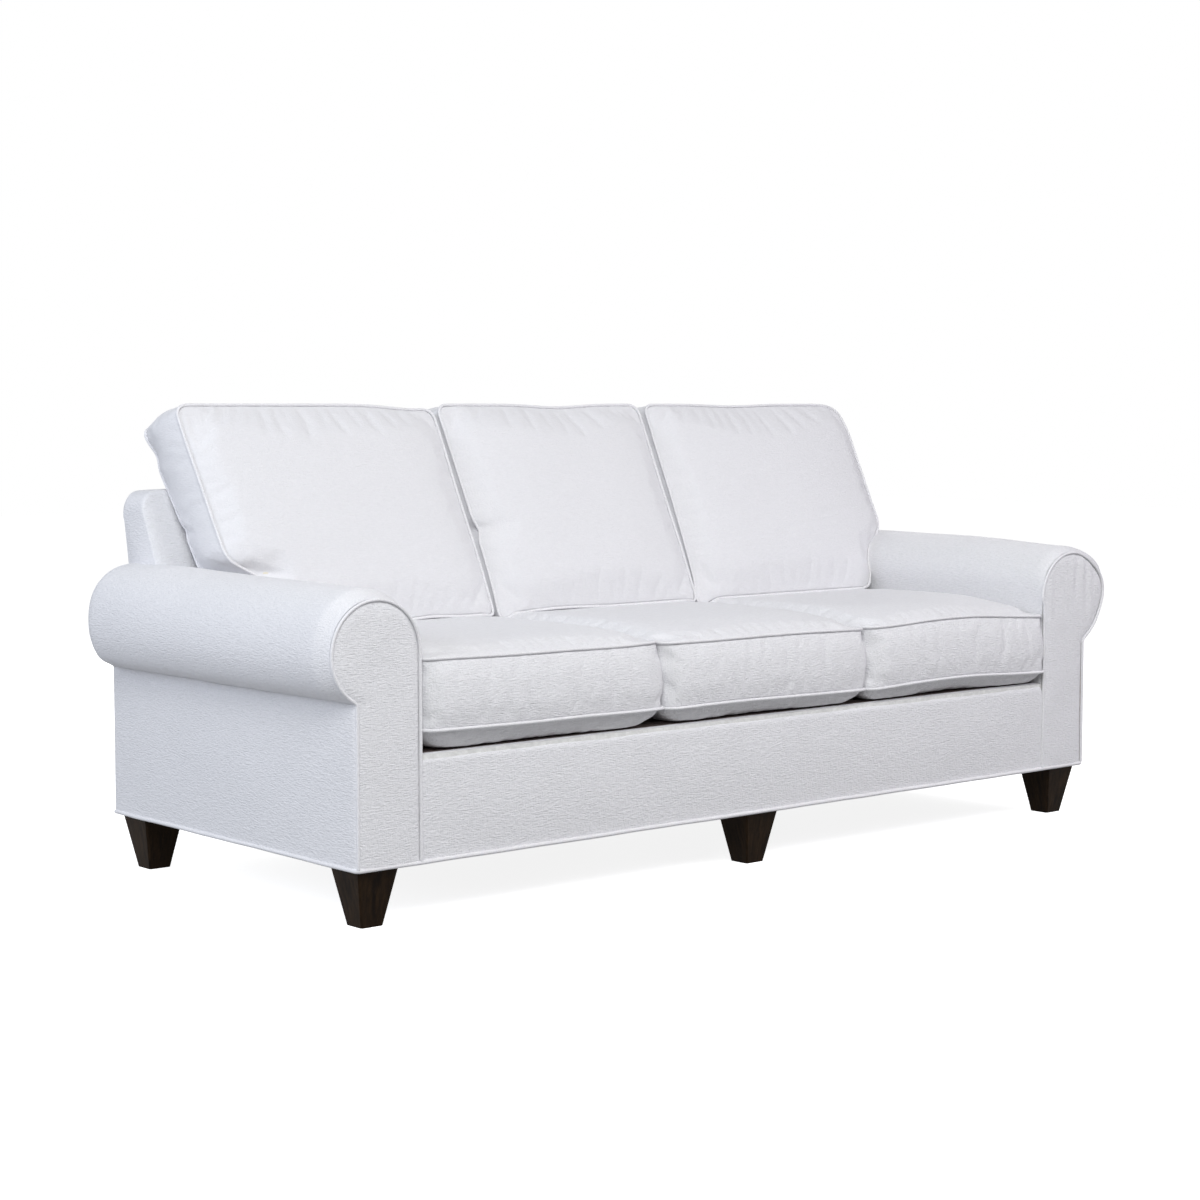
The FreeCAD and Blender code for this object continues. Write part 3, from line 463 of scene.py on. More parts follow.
def rounded_corners(s, t, reach_s, reach_t):
    """Bend a square net so that its edge turns each corner on an arc."""
    ds, dt = np.minimum(s, 1 - s) / reach_s, np.minimum(t, 1 - t) / reach_t
    a, b = np.clip(1 - ds, 0, 1), np.clip(1 - dt, 0, 1)
    length = np.maximum(np.hypot(a, b), 1e-9)
    pull = np.where((a > 0) & (b > 0), np.maximum(a, b) / length, 1)
    new_s, new_t = (1 - a * pull) * reach_s, (1 - b * pull) * reach_t
    new_s = np.where(a > 0, np.where(s < 0.5, new_s, 1 - new_s), s)
    new_t = np.where(b > 0, np.where(t < 0.5, new_t, 1 - new_t), t)
    return new_s, new_t


class BoxCushion:
    """Two crowned panels and the boxing between them. Corners run round each panel the same way."""

    def __init__(self, low, high, step, boxing_rows, radius, draw, low_crown, high_crown, boxing_bulge):
        """Draw is how far the sides run in at half length; a crown is a height and two crown shapes."""
        low, high = np.array(low, float), np.array(high, float)
        width = np.linalg.norm(high[1] - high[0])
        depth = np.linalg.norm(high[3] - high[0])
        self.columns, self.rows = int(width / step) + 1, int(depth / step) + 1
        s, t = np.meshgrid(np.linspace(0, 1, self.columns), np.linspace(0, 1, self.rows))
        s, t = s.ravel(), t.ravel()
        rs, rt = rounded_corners(s, t, radius / width, radius / depth)
        cs = 0.5 + (rs - 0.5) * (1 - 2 * draw / width * 4 * rt * (1 - rt))
        panels = []
        for corners, (height, across, along), way in ((high, high_crown, 1), (low, low_crown, -1)):
            a, b, c, d = corners
            crown = (crown_share(s, *across) * crown_share(t, *along))[:, None]
            flat = (((1 - cs) * (1 - rt))[:, None] * a + (cs * (1 - rt))[:, None] * b
                    + (cs * rt)[:, None] * c + ((1 - cs) * rt)[:, None] * d)
            normal = np.cross(b - a, d - a)
            normal /= np.linalg.norm(normal)
            panels.append(flat + normal * way * height * crown)
        self.normal = normal
        grid = np.arange(self.rows * self.columns).reshape(self.rows, self.columns)
        self.edge = np.concatenate((grid[0, :-1], grid[:-1, -1], grid[-1, :0:-1], grid[:0:-1, 0]))
        self.count, self.ring, self.boxing_rows = len(s), len(self.edge), boxing_rows
        top, bottom = panels[0][self.edge], panels[1][self.edge]
        outward = np.cross(np.roll(top, -1, 0) - np.roll(top, 1, 0), normal)
        self.outward = outward / np.linalg.norm(outward, axis=1)[:, None]
        strip = []
        for k in range(1, boxing_rows):
            w = k / boxing_rows
            strip.append(bottom * (1 - w) + top * w + self.outward * boxing_bulge * 4 * w * (1 - w))
        self.points = np.concatenate((panels[0], panels[1], *strip))
        self.top_edge, self.low_edge = self.edge, self.edge + self.count
        self.faces = net_faces(self.rows, self.columns)
        self.faces += [face[::-1] for face in net_faces(self.rows, self.columns, first=self.count)]
        rings = [self.low_edge]
        rings += [2 * self.count + k * self.ring + np.arange(self.ring) for k in range(boxing_rows - 1)]
        rings.append(self.top_edge)
        for lower, upper in zip(rings, rings[1:]):
            for i in range(self.ring):
                j = (i + 1) % self.ring
                self.faces.append((int(lower[i]), int(lower[j]), int(upper[j]), int(upper[i])))

    def level(self):
        """For each point, 0 on the low panel, 1 on the high one and their share on the boxing."""
        share = np.zeros(len(self.points))
        share[:self.count] = 1
        for k in range(1, self.boxing_rows):
            first = 2 * self.count + (k - 1) * self.ring
            share[first:first + self.ring] = k / self.boxing_rows
        return share

    def gather(self, amount, pitch, seed):
        """Raise soft upright folds in the boxing, from seam to seam."""
        steps = np.linalg.norm(np.roll(self.points[self.edge], -1, 0) - self.points[self.edge], axis=1)
        run = np.concatenate(([0], np.cumsum(steps)[:-1]))
        fine = np.array([noise.noise(Vector((a / pitch, seed, 0))) for a in run])
        broad = np.array([noise.noise(Vector((a / (6 * pitch), seed, 5))) for a in run])
        fold = fine * np.clip(0.7 + 1.4 * broad, 0.1, 1.6)
        for k in range(1, self.boxing_rows):
            w = k / self.boxing_rows
            first = 2 * self.count + (k - 1) * self.ring
            lift = amount * fold * math.sin(math.pi * w) ** 0.4
            self.points[first:first + self.ring] += self.outward * lift[:, None]

    def welt_paths(self, high, low, forward):
        """The two seams, each moved out from the cushion by its own step, the low one forward as well."""
        paths = []
        for edge, way, step in ((self.top_edge, 1, high), (self.low_edge, -1, low)):
            seam = self.points[edge]
            outward = np.cross(np.roll(seam, -1, 0) - np.roll(seam, 1, 0), self.normal)
            outward /= np.linalg.norm(outward, axis=1)[:, None]
            path = seam + (outward + 0.5 * way * self.normal) * step
            if way < 0:
                path[:, 1] -= forward * np.clip(-outward[:, 1], 0, 1)
            paths.append(path)
        return paths


# %% The cloth simulation
SIM_FRAMES = 20


def settled(cushion, name, growth, pressure, cap):
    """Let cloth with some spare length fill out between pinned seams, and cap how far it moves."""
    trial = new_piece(f"{name}_trial", cushion.points, cushion.faces, cushion_cloth, "upholstery_cloth")
    pins = trial.vertex_groups.new(name="seams")
    pins.add([int(i) for i in (*cushion.top_edge, *cushion.low_edge)], 1.0, "REPLACE")
    cloth = trial.modifiers.new("settle", "CLOTH").settings
    cloth.quality = 6
    cloth.mass = 0.2
    cloth.tension_stiffness = cloth.compression_stiffness = 12
    cloth.shear_stiffness = 4
    cloth.bending_stiffness = 0.25
    cloth.vertex_group_mass = "seams"
    cloth.use_pressure = True
    cloth.uniform_pressure_force = pressure
    cloth.shrink_min = -growth
    cloth.effector_weights.gravity = 0
    for number in range(1, SIM_FRAMES + 1):
        scene.frame_set(number)
    result = trial.evaluated_get(bpy.context.evaluated_depsgraph_get()).data
    moved = np.empty(len(cushion.points) * 3, np.float32)
    result.vertices.foreach_get("co", moved)
    moved = moved.reshape(-1, 3).astype(float) - cushion.points
    distance = np.linalg.norm(moved, axis=1)[:, None]
    moved *= np.minimum(1, cap / np.maximum(distance, 1e-9))
    scene.frame_set(1)
    bpy.data.objects.remove(trial)
    mean, most = distance.mean() * 1000, distance.max() * 1000
    print(f"{name}: cloth moves {mean:.1f} mm on average, {most:.1f} at most, kept to {cap * 1000:.0f}")
    return cushion.points + moved


# %% Finish a cushion: its cover, its welts and its filling
CORE_DEPTH = 0.009


def finish_cushion(cushion, name, body, cloth, welt_steps):
    """Make the cushion's cover and its two welts, and attach them to the cushion's body."""
    cover = new_piece(f"{name}_box_cushion", cushion.points, cushion.faces, cloth, "upholstery_cloth")
    subdivide = cover.modifiers.new("smooth", "SUBSURF")
    subdivide.levels = subdivide.render_levels = 1
    welt = new_welt(f"{name}_welts", cushion.welt_paths(*welt_steps))
    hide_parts(f"{name}_cushion")
    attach(cover, body)
    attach(welt, body)


def make_filling(cushion, name, body):
    """Make the filling from a coarse net of the cushion, drawn in all round to fit inside its cover."""
    foam = FINISHES["filling_foam"]
    core = new_piece(f"{name}_core", cushion.points, cushion.faces, foam, "filling_foam")
    inward = [CORE_DEPTH * normal.vector for normal in core.data.vertex_normals]
    for vertex, shift in zip(core.data.vertices, inward):
        vertex.co -= shift
    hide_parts(f"{name}_filling")
    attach(core, body)


# %% [markdown]
# ## Seat cushions
#
# Three equal box seats lie side by side between the arms. Each is crowned above and below, so dark
# gaps open under the corners. The front edge bows forward a little, and its seams rise and sink by a
# few millimetres as the fillings settle, most at the two arms. A table gives that rise in millimetres
# at five places from left to right, for the low and the high seam. Neighbours press flat against each
# other and against the arms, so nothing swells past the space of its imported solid. The filling is a
# block of foam in the same form, a little smaller than its cover.

# %% Three seat cushions
MM = 0.001
CLEAR = 0.0006
STEP, ROWS = 0.0085, 13
CORE_STEP, CORE_ROWS = 0.030, 4
SEAT_LOW_WELT, SEAT_HIGH_WELT, SEAT_TOP, DECK = 0.3483, 0.4783, 0.5053, 0.312
# Each crown: its height, then its shape across and along
SEAT_CROWN = (0.026, (5, 0.5), (2.8, 0.6))
SEAT_UNDER = (0.0355, (6, 0.5), (11, 0.5))
SEAT_CORNER, SEAT_DRAW, SEAT_BULGE = 0.022, 0.0015, 0.004
SEAM_IN, SEAT_LEAN, EDGE_DROP = 0.0042, 0.009, 0.002
CORNER_RECESS, LAST_RECESS = 0.009, 0.002
UNEVEN, UNEVEN_SIZE = 0.002, 0.20
# The simulated cloth: its spare length, the pressure inside and the most that it may move
SEAT_CLOTH = (0.022, 4.0, 0.007)
FOLD_PITCH = 0.011
FRONT_SWELL, GAP_AT_FRONT = 0.012, 0.0014
# Where along the depth a change begins and where it is complete
FRONT_PART, SEAM_PART, PRESSED_PART = (0.05, -0.35), (-0.22, -0.44), (-0.15, -0.40)
EDGE_PART, UNDER_BACK_PART = (-0.32, -0.38), (-0.02, 0.06)
NAMES = ("left", "middle", "right")
QUARTERS = (0, 0.25, 0.5, 0.75, 1)
SEAM_RISE = {
    "left": ((6.0, 5.6, 5.2, 3.7, 1.5), (8.0, 4.5, 1.8, 0.8, 4.0)),
    "middle": ((-1.0, 0.0, 0.0, -2.5, -4.5), (-1.5, -3.3, -2.2, -4.5, -6.0)),
    "right": ((-8.0, -0.5, 1.9, -3.5, -9.0), (-4.5, -2.2, 1.5, -5.0, -11.5)),
}
SEAT_GATHERS = {"left": 0.0044, "middle": 0.0026, "right": 0.0046}
SEAT_WELT = (0.0015, 0.0015, 0.0025)


def pressed(line, points):
    """How far a seat's front bulges into its right-hand neighbour: line 1 is left of the middle seat."""
    up = np.clip((points[:, 2] - SEAT_LOW_WELT) / (SEAT_HIGH_WELT - SEAT_LOW_WELT), 0, 1)
    front = ramp(points[:, 1], *PRESSED_PART)
    if line == 1:
        return 10 * MM * (1 - up ** 3) * front
    if line == 2:
        return 7 * MM * 4 * up * (1 - up) * front
    return 0 * up


def seat_net(index, side, step, rows):
    low_corner, high_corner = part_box(f"{side}_seat_cushion")
    x0, x1, y0, y1 = low_corner.x, high_corner.x, low_corner.y, high_corner.y
    in0, in1 = x0 + SEAM_IN, x1 - SEAM_IN
    around = ((in0, y0), (in1, y0), (in1, y1), (in0, y1))
    low_corners = [(x, y, SEAT_LOW_WELT) for x, y in around]
    high_corners = [(x, y, SEAT_HIGH_WELT) for x, y in around]
    under = (SEAT_UNDER[0] + MM * max(SEAM_RISE[side][0]), *SEAT_UNDER[1:])
    seat = BoxCushion(low_corners, high_corners, step, rows, SEAT_CORNER, SEAT_DRAW,
                      under, SEAT_CROWN, SEAT_BULGE)
    points, level = seat.points, seat.level()
    share = (points[:, 0] - x0) / (x1 - x0)
    across = np.abs(2 * share - 1)
    front = ramp(points[:, 1], *FRONT_PART)
    recess = np.where((side == "right") & (share > 0.5), LAST_RECESS, CORNER_RECESS)
    points[:, 1] += (recess * across ** 5 + SEAT_LEAN * level) * front
    points[:, 2] -= EDGE_DROP * across ** 9 * front * level
    low_rise, high_rise = (np.polyval(np.polyfit(QUARTERS, rise, 4), share) for rise in SEAM_RISE[side])
    seam = ramp(points[:, 1], *SEAM_PART)
    points[:, 2] += MM * (low_rise * (1 - level) * front + high_rise * level * seam)
    points[:, 2] += UNEVEN * wander(points, UNEVEN_SIZE, index + 1)
    points[:, 0] += pressed(index + 1, points) * share ** 6 + pressed(index, points) * (1 - share) ** 6
    return seat, (x0, x1, y0, y1)


seat_tops = []
for index, side in enumerate(NAMES):
    seat, (x0, x1, y0, y1) = seat_net(index, side, STEP, ROWS)
    seat.points = settled(seat, f"{side}_seat", *SEAT_CLOTH)
    seat.gather(SEAT_GATHERS[side], FOLD_PITCH, index + 1)
    at_left, at_right = pressed(index, seat.points), pressed(index + 1, seat.points)
    seat.points[:, 0] = np.clip(seat.points[:, 0], x0 + at_left + CLEAR, x1 + at_right - CLEAR)
    seat.points[:, 1] = np.clip(seat.points[:, 1], y0 - FRONT_SWELL, y1)
    ceiling = SEAT_TOP + 1 * MM - 5 * MM * ramp(seat.points[:, 1], *UNDER_BACK_PART)
    lowest = DECK + CLEAR + GAP_AT_FRONT * ramp(seat.points[:, 1], *EDGE_PART)
    seat.points[:, 2] = np.clip(seat.points[:, 2], lowest, ceiling)
    seat_tops.append(seat.points[:seat.count].reshape(seat.rows, seat.columns, 3))
    finish_cushion(seat, f"{side}_seat", f"{side}_seat", cushion_cloth, SEAT_WELT)
    make_filling(seat_net(index, side, CORE_STEP, CORE_ROWS)[0], f"{side}_seat", f"{side}_seat")
print("seat cushions made, crown at", SEAT_TOP, "m")


# %% [markdown]
# ## Back cushions
#
# The back cushions stand on the seats and lean on the back. The front panel leans straight, while the
# rear one gives way over the top edge of the back, so it is bent. The two outer ones reach out over the
# arms and rest on the padded rolls, and all three are pushed clear of arm, seat and back. Soft filling
# also leaves hollows. The broad ones are put in before the cloth simulation, and the small pinch of the
# left cushion over its arm after it, because the simulation would smooth that one away.

# %% What a back cushion rests on
ARM_INNER, ROLL_X, ROLL_Z, ROLL_R = 0.879, 0.979, 0.502, 0.100
ARM_END = 0.430
RIGHT_PADDING, LEFT_PADDING, MORE_AT_REAR = 0.020, 0.015, 0.0075
BACK_TOP, BACK_FOOT_Y, BACK_SLOPE = 0.773, 0.05369, 0.404026
TOP_GIVE = 1.6


def roll_bulge(side, y, angle):
    """How far the padded roll stands outside its frame: the right one fills out slowly on its top."""
    from_front, from_rear = y + ARM_END, ARM_END - y
    quick = smooth_step(from_front / 0.020)
    slow = (smooth_step(from_front / 0.030) + smooth_step(from_front / 0.26)) / 2
    right = slow + (quick - slow) * np.exp(-((angle - 0.6) / 0.55) ** 2)
    start = np.where(side > 0, right, smooth_step(from_front / 0.045))
    padding = np.where(side > 0, RIGHT_PADDING, LEFT_PADDING)
    return start * smooth_step(from_rear / 0.035) * (padding + MORE_AT_REAR * ramp(y, -0.40, 0.40))


def roll_padding(side, y, angle):
    """The bulge round the roll: none at the inner wall, and a lump on its outer shoulder at one end."""
    right = side > 0
    outer = np.where(right, 0.95, 0.70)
    soft = ramp(angle, math.pi, math.pi - 1.2) * (outer + (1 - outer) * ramp(angle, 0, 1.2))
    end = np.where(right, ramp(y, 0.1, -0.2), ramp(y, 0.05, 0.30))
    place, reach = np.where(right, 0.45, 0.75), np.where(right, 0.35, 0.55)
    size = np.where(right, 0.30, 0.45)
    shoulder = size * end * np.exp(-((angle - place) / reach) ** 2)
    return roll_bulge(side, y, angle) * (soft + shoulder)


def roll_inner_x(side, y, z):
    """How far from the middle the roll's inner side stands at a height, for points above its centre."""
    angle = np.linspace(math.pi, math.pi / 2, 40)
    x = np.empty(len(y))
    for i, (here, up) in enumerate(zip(y, z)):
        radius = ROLL_R + roll_padding(side, here, angle)
        x[i] = np.interp(up, ROLL_Z + radius * np.sin(angle), ROLL_X + radius * np.cos(angle), right=9)
    return x


def clear_of_arms(points):
    """Push points out of the padded rolls, and in from the walls under them."""
    out = points.copy()
    near = np.abs(out[:, 0]) > ARM_INNER - 0.02
    side = np.sign(out[near, 0])
    angle = np.arctan2(out[near, 2] - ROLL_Z, np.abs(out[near, 0]) - ROLL_X)
    reach = ROLL_R + roll_padding(side, out[near, 1], angle) + CLEAR
    distance = np.hypot(np.abs(out[near, 0]) - ROLL_X, out[near, 2] - ROLL_Z)
    inside = (distance < reach) & (out[near, 2] > ROLL_Z)
    scale = np.where(inside, reach / np.maximum(distance, 1e-6), 1)
    out[near, 0] = side * (ROLL_X + (np.abs(out[near, 0]) - ROLL_X) * scale)
    out[near, 2] = ROLL_Z + (out[near, 2] - ROLL_Z) * scale
    low = (out[:, 2] <= ROLL_Z + 0.02) & (np.abs(out[:, 0]) > ARM_INNER - CLEAR)
    out[:, 0] = np.where(low, np.sign(out[:, 0]) * (ARM_INNER - CLEAR), out[:, 0])
    return out


def seat_height(x, y):
    """How high the seats reach at a place, read off their own nets."""
    height = np.full(len(x), SEAT_HIGH_WELT)
    for net in seat_tops:
        s = (x - net[0, 0, 0]) / (net[0, -1, 0] - net[0, 0, 0]) * (net.shape[1] - 1)
        t = (y - net[0, 0, 1]) / (net[-1, 0, 1] - net[0, 0, 1]) * (net.shape[0] - 1)
        over = (s > -0.5) & (s < net.shape[1] - 0.5) & (t > -0.5) & (t < net.shape[0] - 0.5)
        s0, t0 = (np.clip(v[over].astype(int), 1, n - 2) for v, n in ((s, net.shape[1]), (t, net.shape[0])))
        nearby = [net[t0 + i, s0 + j, 2] for i in (-1, 0, 1) for j in (-1, 0, 1)]
        height[over] = np.maximum(height[over], np.max(nearby, axis=0))
    return height


def clear_of_seats(points):
    """Keep points above the seats, which lie lower along their seams and towards their rear."""
    out = points.copy()
    out[:, 2] = np.maximum(out[:, 2], seat_height(out[:, 0], out[:, 1]) + 1 * MM)
    return out


def clear_of_back(points):
    """Keep points in front of the leaning back, up to its rounded top."""
    out = points.copy()
    limit = BACK_FOOT_Y + BACK_SLOPE * np.minimum(out[:, 2], BACK_TOP) - 2 * MM
    limit += TOP_GIVE * np.maximum(0, out[:, 2] - BACK_TOP + 6 * MM)
    above = out[:, 2] > BACK_TOP + 30 * MM
    out[:, 1] = np.where(above, out[:, 1], np.minimum(out[:, 1], limit))
    return out


# %% Three back cushions
# Places in y and z of the seams' top and foot, and of the rear panel's bend
FRONT_TOP, FRONT_FOOT = (0.288, 0.943), (0.082, 0.5045)
REAR_TOP, REAR_FOOT, REAR_BEND = (0.432, 0.895), (0.214, 0.5045), (0.316, 0.727)
BACK_CROWN = (0.034, (2.8, 0.6), (2.8, 0.6))
BACK_UNDER = (0.020, (2.6, 0.62), (2.6, 0.62))
BACK_CORNER, BACK_DRAW, BACK_BULGE = 0.024, 0.003, 0.009
BACK_UNEVEN = 0.003
MOST_FALL, FALL_REACH = 0.017, 0.14
BACK_CLOTH = (0.020, 4.0, 0.010)
BACK_FOLDS = (0.0016, 0.020)
PLACE = 0.586
# How far each cushion's left and right sides are drawn in, each at its foot and its top
INSETS = {
    "left": ((0, 0), (0.013, 0.024)),
    "middle": ((0.003, -0.010), (0.012, 0.018)),
    "right": ((-0.002, 0.005), (0, 0)),
}
MEETING = ((0, 0), (-0.005, -0.017), (-0.007, -0.0065), (0, 0))
# How far from the middle the outer cushions reach: heights, then distances
FRONT_EDGE = {
    "left": ((0.504, 0.606, 0.616, 0.634, 0.6435, 0.66, 0.72, 0.80, 0.87, 0.943),
             (0.845, 0.866, 0.880, 0.918, 0.926, 0.933, 0.940, 0.947, 0.953, 0.956)),
    "right": ((0.504, 0.562, 0.620, 0.645, 0.66, 0.943), (0.848, 0.884, 0.928, 0.953, 0.958, 0.955)),
}
REAR_EDGE_Z = 0.635
REAR_EDGE = {"left": (0.917, 0.115), "right": (0.958, -0.010)}
BACK_WELT = (0.0015, 0.0003, 0)


def lean_over_arm(points, level, side):
    """Carry the outer side of an end cushion out to its edge over the arm, and onto the roll."""
    way = -1 if side == "left" else 1
    inner = ARM_INNER - PLACE
    share = np.clip((way * points[:, 0] - inner) / PLACE, 0, 1)
    start, slope = REAR_EDGE[side]
    rear = start + slope * (points[:, 2] - REAR_EDGE_Z)
    front = np.interp(points[:, 2], *FRONT_EDGE[side])
    edge = rear + (front - rear) * level
    room = (2 + 5.5 * level) * MM
    edge = np.minimum(edge, roll_inner_x(way, points[:, 1], points[:, 2]) - room)
    points[:, 0] += way * (edge - ARM_INNER) * share ** 1.5


def meeting_line(number, z):
    """Where two back cushions meet: the cushions settle a little to the left, most at their top."""
    foot, top = MEETING[number]
    up = np.clip((z - FRONT_FOOT[1]) / (FRONT_TOP[1] - FRONT_FOOT[1]), 0, 1)
    return -ARM_INNER + number * PLACE + foot + (top - foot) * up


def dent(points, place, reach, shift):
    """Push points near a place by a shift that fades over its reach."""
    away = ((points - np.array(place)) / np.array(reach)) ** 2
    points += np.array(shift) * np.exp(-away.sum(1))[:, None]


# Each dent: its place, its reach and its shift, all in x, y and z
DENTS = {
    "left": [((-0.36, 0.30, 0.945), (0.10, 0.2, 0.07), (0, 0, -0.010)),
             ((-0.95, 0.43, 0.895), (0.05, 0.04, 0.025), (0, 0, 0.003)),
             ((-0.95, 0.41, 0.840), (0.05, 0.05, 0.022), (0.010, 0, 0)),
             ((-0.93, 0.33, 0.690), (0.03, 0.05, 0.012), (0.007, 0, 0)),
             ((-0.470, 0.08, 0.506), (0.050, 0.045, 0.03), (0, 0, 0.0035))],
    "middle": [((0.03, 0.30, 0.945), (0.09, 0.2, 0.07), (0, 0, -0.006)),
               ((-0.300, 0.16, 0.677), (0.045, 0.06, 0.016), (0.013, 0.004, 0)),
               ((-0.262, 0.16, 0.682), (0.030, 0.05, 0.008), (0, 0.005, 0)),
               ((-0.120, 0.08, 0.506), (0.090, 0.045, 0.03), (0, 0, 0.0035)),
               ((-0.270, 0.08, 0.508), (0.035, 0.05, 0.02), (0, 0, -0.010))],
    "right": [((0.58, 0.30, 0.945), (0.10, 0.2, 0.07), (0, 0, -0.004)),
              ((0.955, 0.288, 0.943), (0.045, 0.2, 0.045), (-0.010, 0, -0.010)),
              ((0.295, 0.08, 0.506), (0.025, 0.05, 0.025), (-0.007, 0, -0.004)),
              ((0.325, 0.10, 0.545), (0.014, 0.04, 0.022), (0, 0.007, 0))],
}

PINCH = [((-0.882, 0.14, 0.625), (0.018, 0.04, 0.009), (0, 0.009, 0)),
         ((-0.848, 0.13, 0.611), (0.026, 0.04, 0.009), (0, 0.012, 0)),
         ((-0.850, 0.13, 0.597), (0.026, 0.04, 0.008), (0, -0.005, 0))]


def back_net(index, side, step, rows):
    x0, x1 = -ARM_INNER + index * PLACE, -ARM_INNER + (index + 1) * PLACE
    (left_foot, left_top), (right_foot, right_top) = INSETS[side]
    foot0, top0 = x0 + left_foot, x0 + left_top
    foot1, top1 = x1 - right_foot, x1 - right_top
    front = [(foot0, *FRONT_FOOT), (foot1, *FRONT_FOOT), (top1, *FRONT_TOP), (top0, *FRONT_TOP)]
    rear = [(foot0, *REAR_FOOT), (foot1, *REAR_FOOT), (top1, *REAR_TOP), (top0, *REAR_TOP)]
    pad = BoxCushion(rear, front, step, rows, BACK_CORNER, BACK_DRAW, BACK_UNDER, BACK_CROWN, BACK_BULGE)
    points = pad.points
    up = np.clip((points[:, 2] - REAR_FOOT[1]) / (REAR_TOP[1] - REAR_FOOT[1]), 0, 1)
    bend = REAR_BEND[0] - (REAR_TOP[0] + REAR_FOOT[0]) / 2
    points[:, 1] += (1 - pad.level()) * bend * 2 * up * (1 - up)
    if side != "middle":
        lean_over_arm(points, pad.level(), side)
    fall = np.clip(FRONT_FOOT[1] - 2 * MM - seat_height(points[:, 0], points[:, 1]), 0, MOST_FALL)
    points[:, 2] -= fall * np.clip(1 - (points[:, 2] - FRONT_FOOT[1]) / FALL_REACH, 0, 1) ** 2
    for place, reach, shift in DENTS[side]:
        dent(points, place, reach, shift)
    points[:, 1] += BACK_UNEVEN * wander(points, UNEVEN_SIZE, index + 11)
    return pad


def set_in_place(pad, index):
    """Keep a back cushion between its neighbours and clear of arm, seat and back."""
    x, z = pad.points[:, 0], pad.points[:, 2]
    if index > 0:
        x = np.maximum(x, meeting_line(index, z) + CLEAR)
    if index < 2:
        x = np.minimum(x, meeting_line(index + 1, z) - CLEAR)
    pad.points[:, 0] = x
    pad.points = clear_of_back(clear_of_seats(clear_of_arms(pad.points)))


for index, side in enumerate(NAMES):
    pad = back_net(index, side, STEP, ROWS)
    pad.points = settled(pad, f"{side}_back", *BACK_CLOTH)
    for place, reach, shift in PINCH if side == "left" else ():
        dent(pad.points, place, reach, shift)
    pad.gather(*BACK_FOLDS, index + 21)
    set_in_place(pad, index)
    finish_cushion(pad, f"{side}_back", f"{side}_back", back_cloth, BACK_WELT)
    core = back_net(index, side, CORE_STEP, CORE_ROWS)
    set_in_place(core, index)
    make_filling(core, f"{side}_back", f"{side}_back")
print("back cushions made, top welt at", FRONT_TOP[1], "m")


# %% [markdown]
# ## Rolled arms
#
# The arm cover runs up the inside wall, over the roll and down to the notch, where it is pulled in
# tight under the roll. Padding makes it stand proud of its frame, except where it is sewn to the front
# panel and the back. It is one net: an arm's outline, repeated from front to back. In the photograph
# the right roll is stuffed a little fuller than the left one, most on the outer side of its head.

# %% Arm covers
SIDES = ((-1, "left"), (1, "right"))
ARM_OUTER = 1.025
ARM_FRONT, ARM_REAR, ARM_FOOT = -0.4285, 0.4290, 0.309
# From the ends to these places the net's rows stand closer
CLOSE_AT_FRONT, CLOSE_AT_REAR = -0.385, 0.405
SEWN_IN = 0.0015
HEAD_GROWTH = {-1: 0.0, 1: 0.007}
HEAD_LUMP = {-1: 0.0, 1: 0.013}
ARM_UNEVEN, ARM_UNEVEN_SIZE = 0.0016, 0.16


def head_lump(side, angle):
    """How much fuller the right arm's head is cut on its outer side."""
    return HEAD_LUMP[side] * np.exp(-((angle - 0.25) / 0.45) ** 2)


def runs(*stretches):
    """Stations along several stretches, each with its start, its end and its count, joined in one row."""
    rows = [np.linspace(*stretch)[:-1] for stretch in stretches[:-1]]
    return np.concatenate((*rows, np.linspace(*stretches[-1])))


def arm_cover(side):
    notch = -math.acos((ARM_OUTER - ROLL_X) / ROLL_R)
    turn = np.linspace(math.pi, notch, 46)
    wall = np.linspace(ARM_FOOT, ROLL_Z, 14)[:-1]
    stations = runs((ARM_FRONT, CLOSE_AT_FRONT, 13), (CLOSE_AT_FRONT, CLOSE_AT_REAR, 58),
                    (CLOSE_AT_REAR, ARM_REAR, 8))
    close = ramp(turn, notch, notch + 0.5)
    grown = HEAD_GROWTH[side] * ramp(turn, math.pi, math.pi - 0.6) * close
    points = []
    for y in stations:
        radius = ROLL_R - SEWN_IN + SEWN_IN * smooth_step((y - ARM_FRONT) / 0.01)
        radius = radius + roll_padding(side, y, turn) * close
        radius += grown * ramp(y, ARM_END, 0.13) + head_lump(side, turn) * ramp(y, 0, -0.4)
        points += [(ARM_INNER, y, z) for z in wall]
        points += [(ROLL_X + r * math.cos(a), y, ROLL_Z + r * math.sin(a)) for a, r in zip(turn, radius)]
    points = np.array(points)
    outward = points - np.array([ROLL_X, 0, ROLL_Z])
    outward[:, 1] = 0
    outward /= np.linalg.norm(outward, axis=1)[:, None]
    padded = (points[:, 2] > ROLL_Z - 0.09) & (points[:, 0] > 0.90)
    points += outward * (ARM_UNEVEN * wander(points, ARM_UNEVEN_SIZE, 34 + 3 * side) * padded)[:, None]
    points[:, 0] *= side
    faces = net_faces(len(stations), len(wall) + len(turn))
    return points, [face[::-1] for face in faces] if side > 0 else faces


for side, name in SIDES:
    points, faces = arm_cover(side)
    cover = new_piece(f"{name}_arm_roll_cover", points, faces, arm_cloth, "upholstery_cloth")
    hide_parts(f"{name}_arm_cover")
    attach(cover, "sofa_frame")
print("arm covers:", len(points), "points each")

# %% [markdown]
# The outer arm is one flat panel from the notch to the foot. It is stapled over card, so it stays
# nearly flat and only breathes by a millimetre or two. It tucks in under the roll and at both ends, but
# never as far as the side of the boards that it covers.


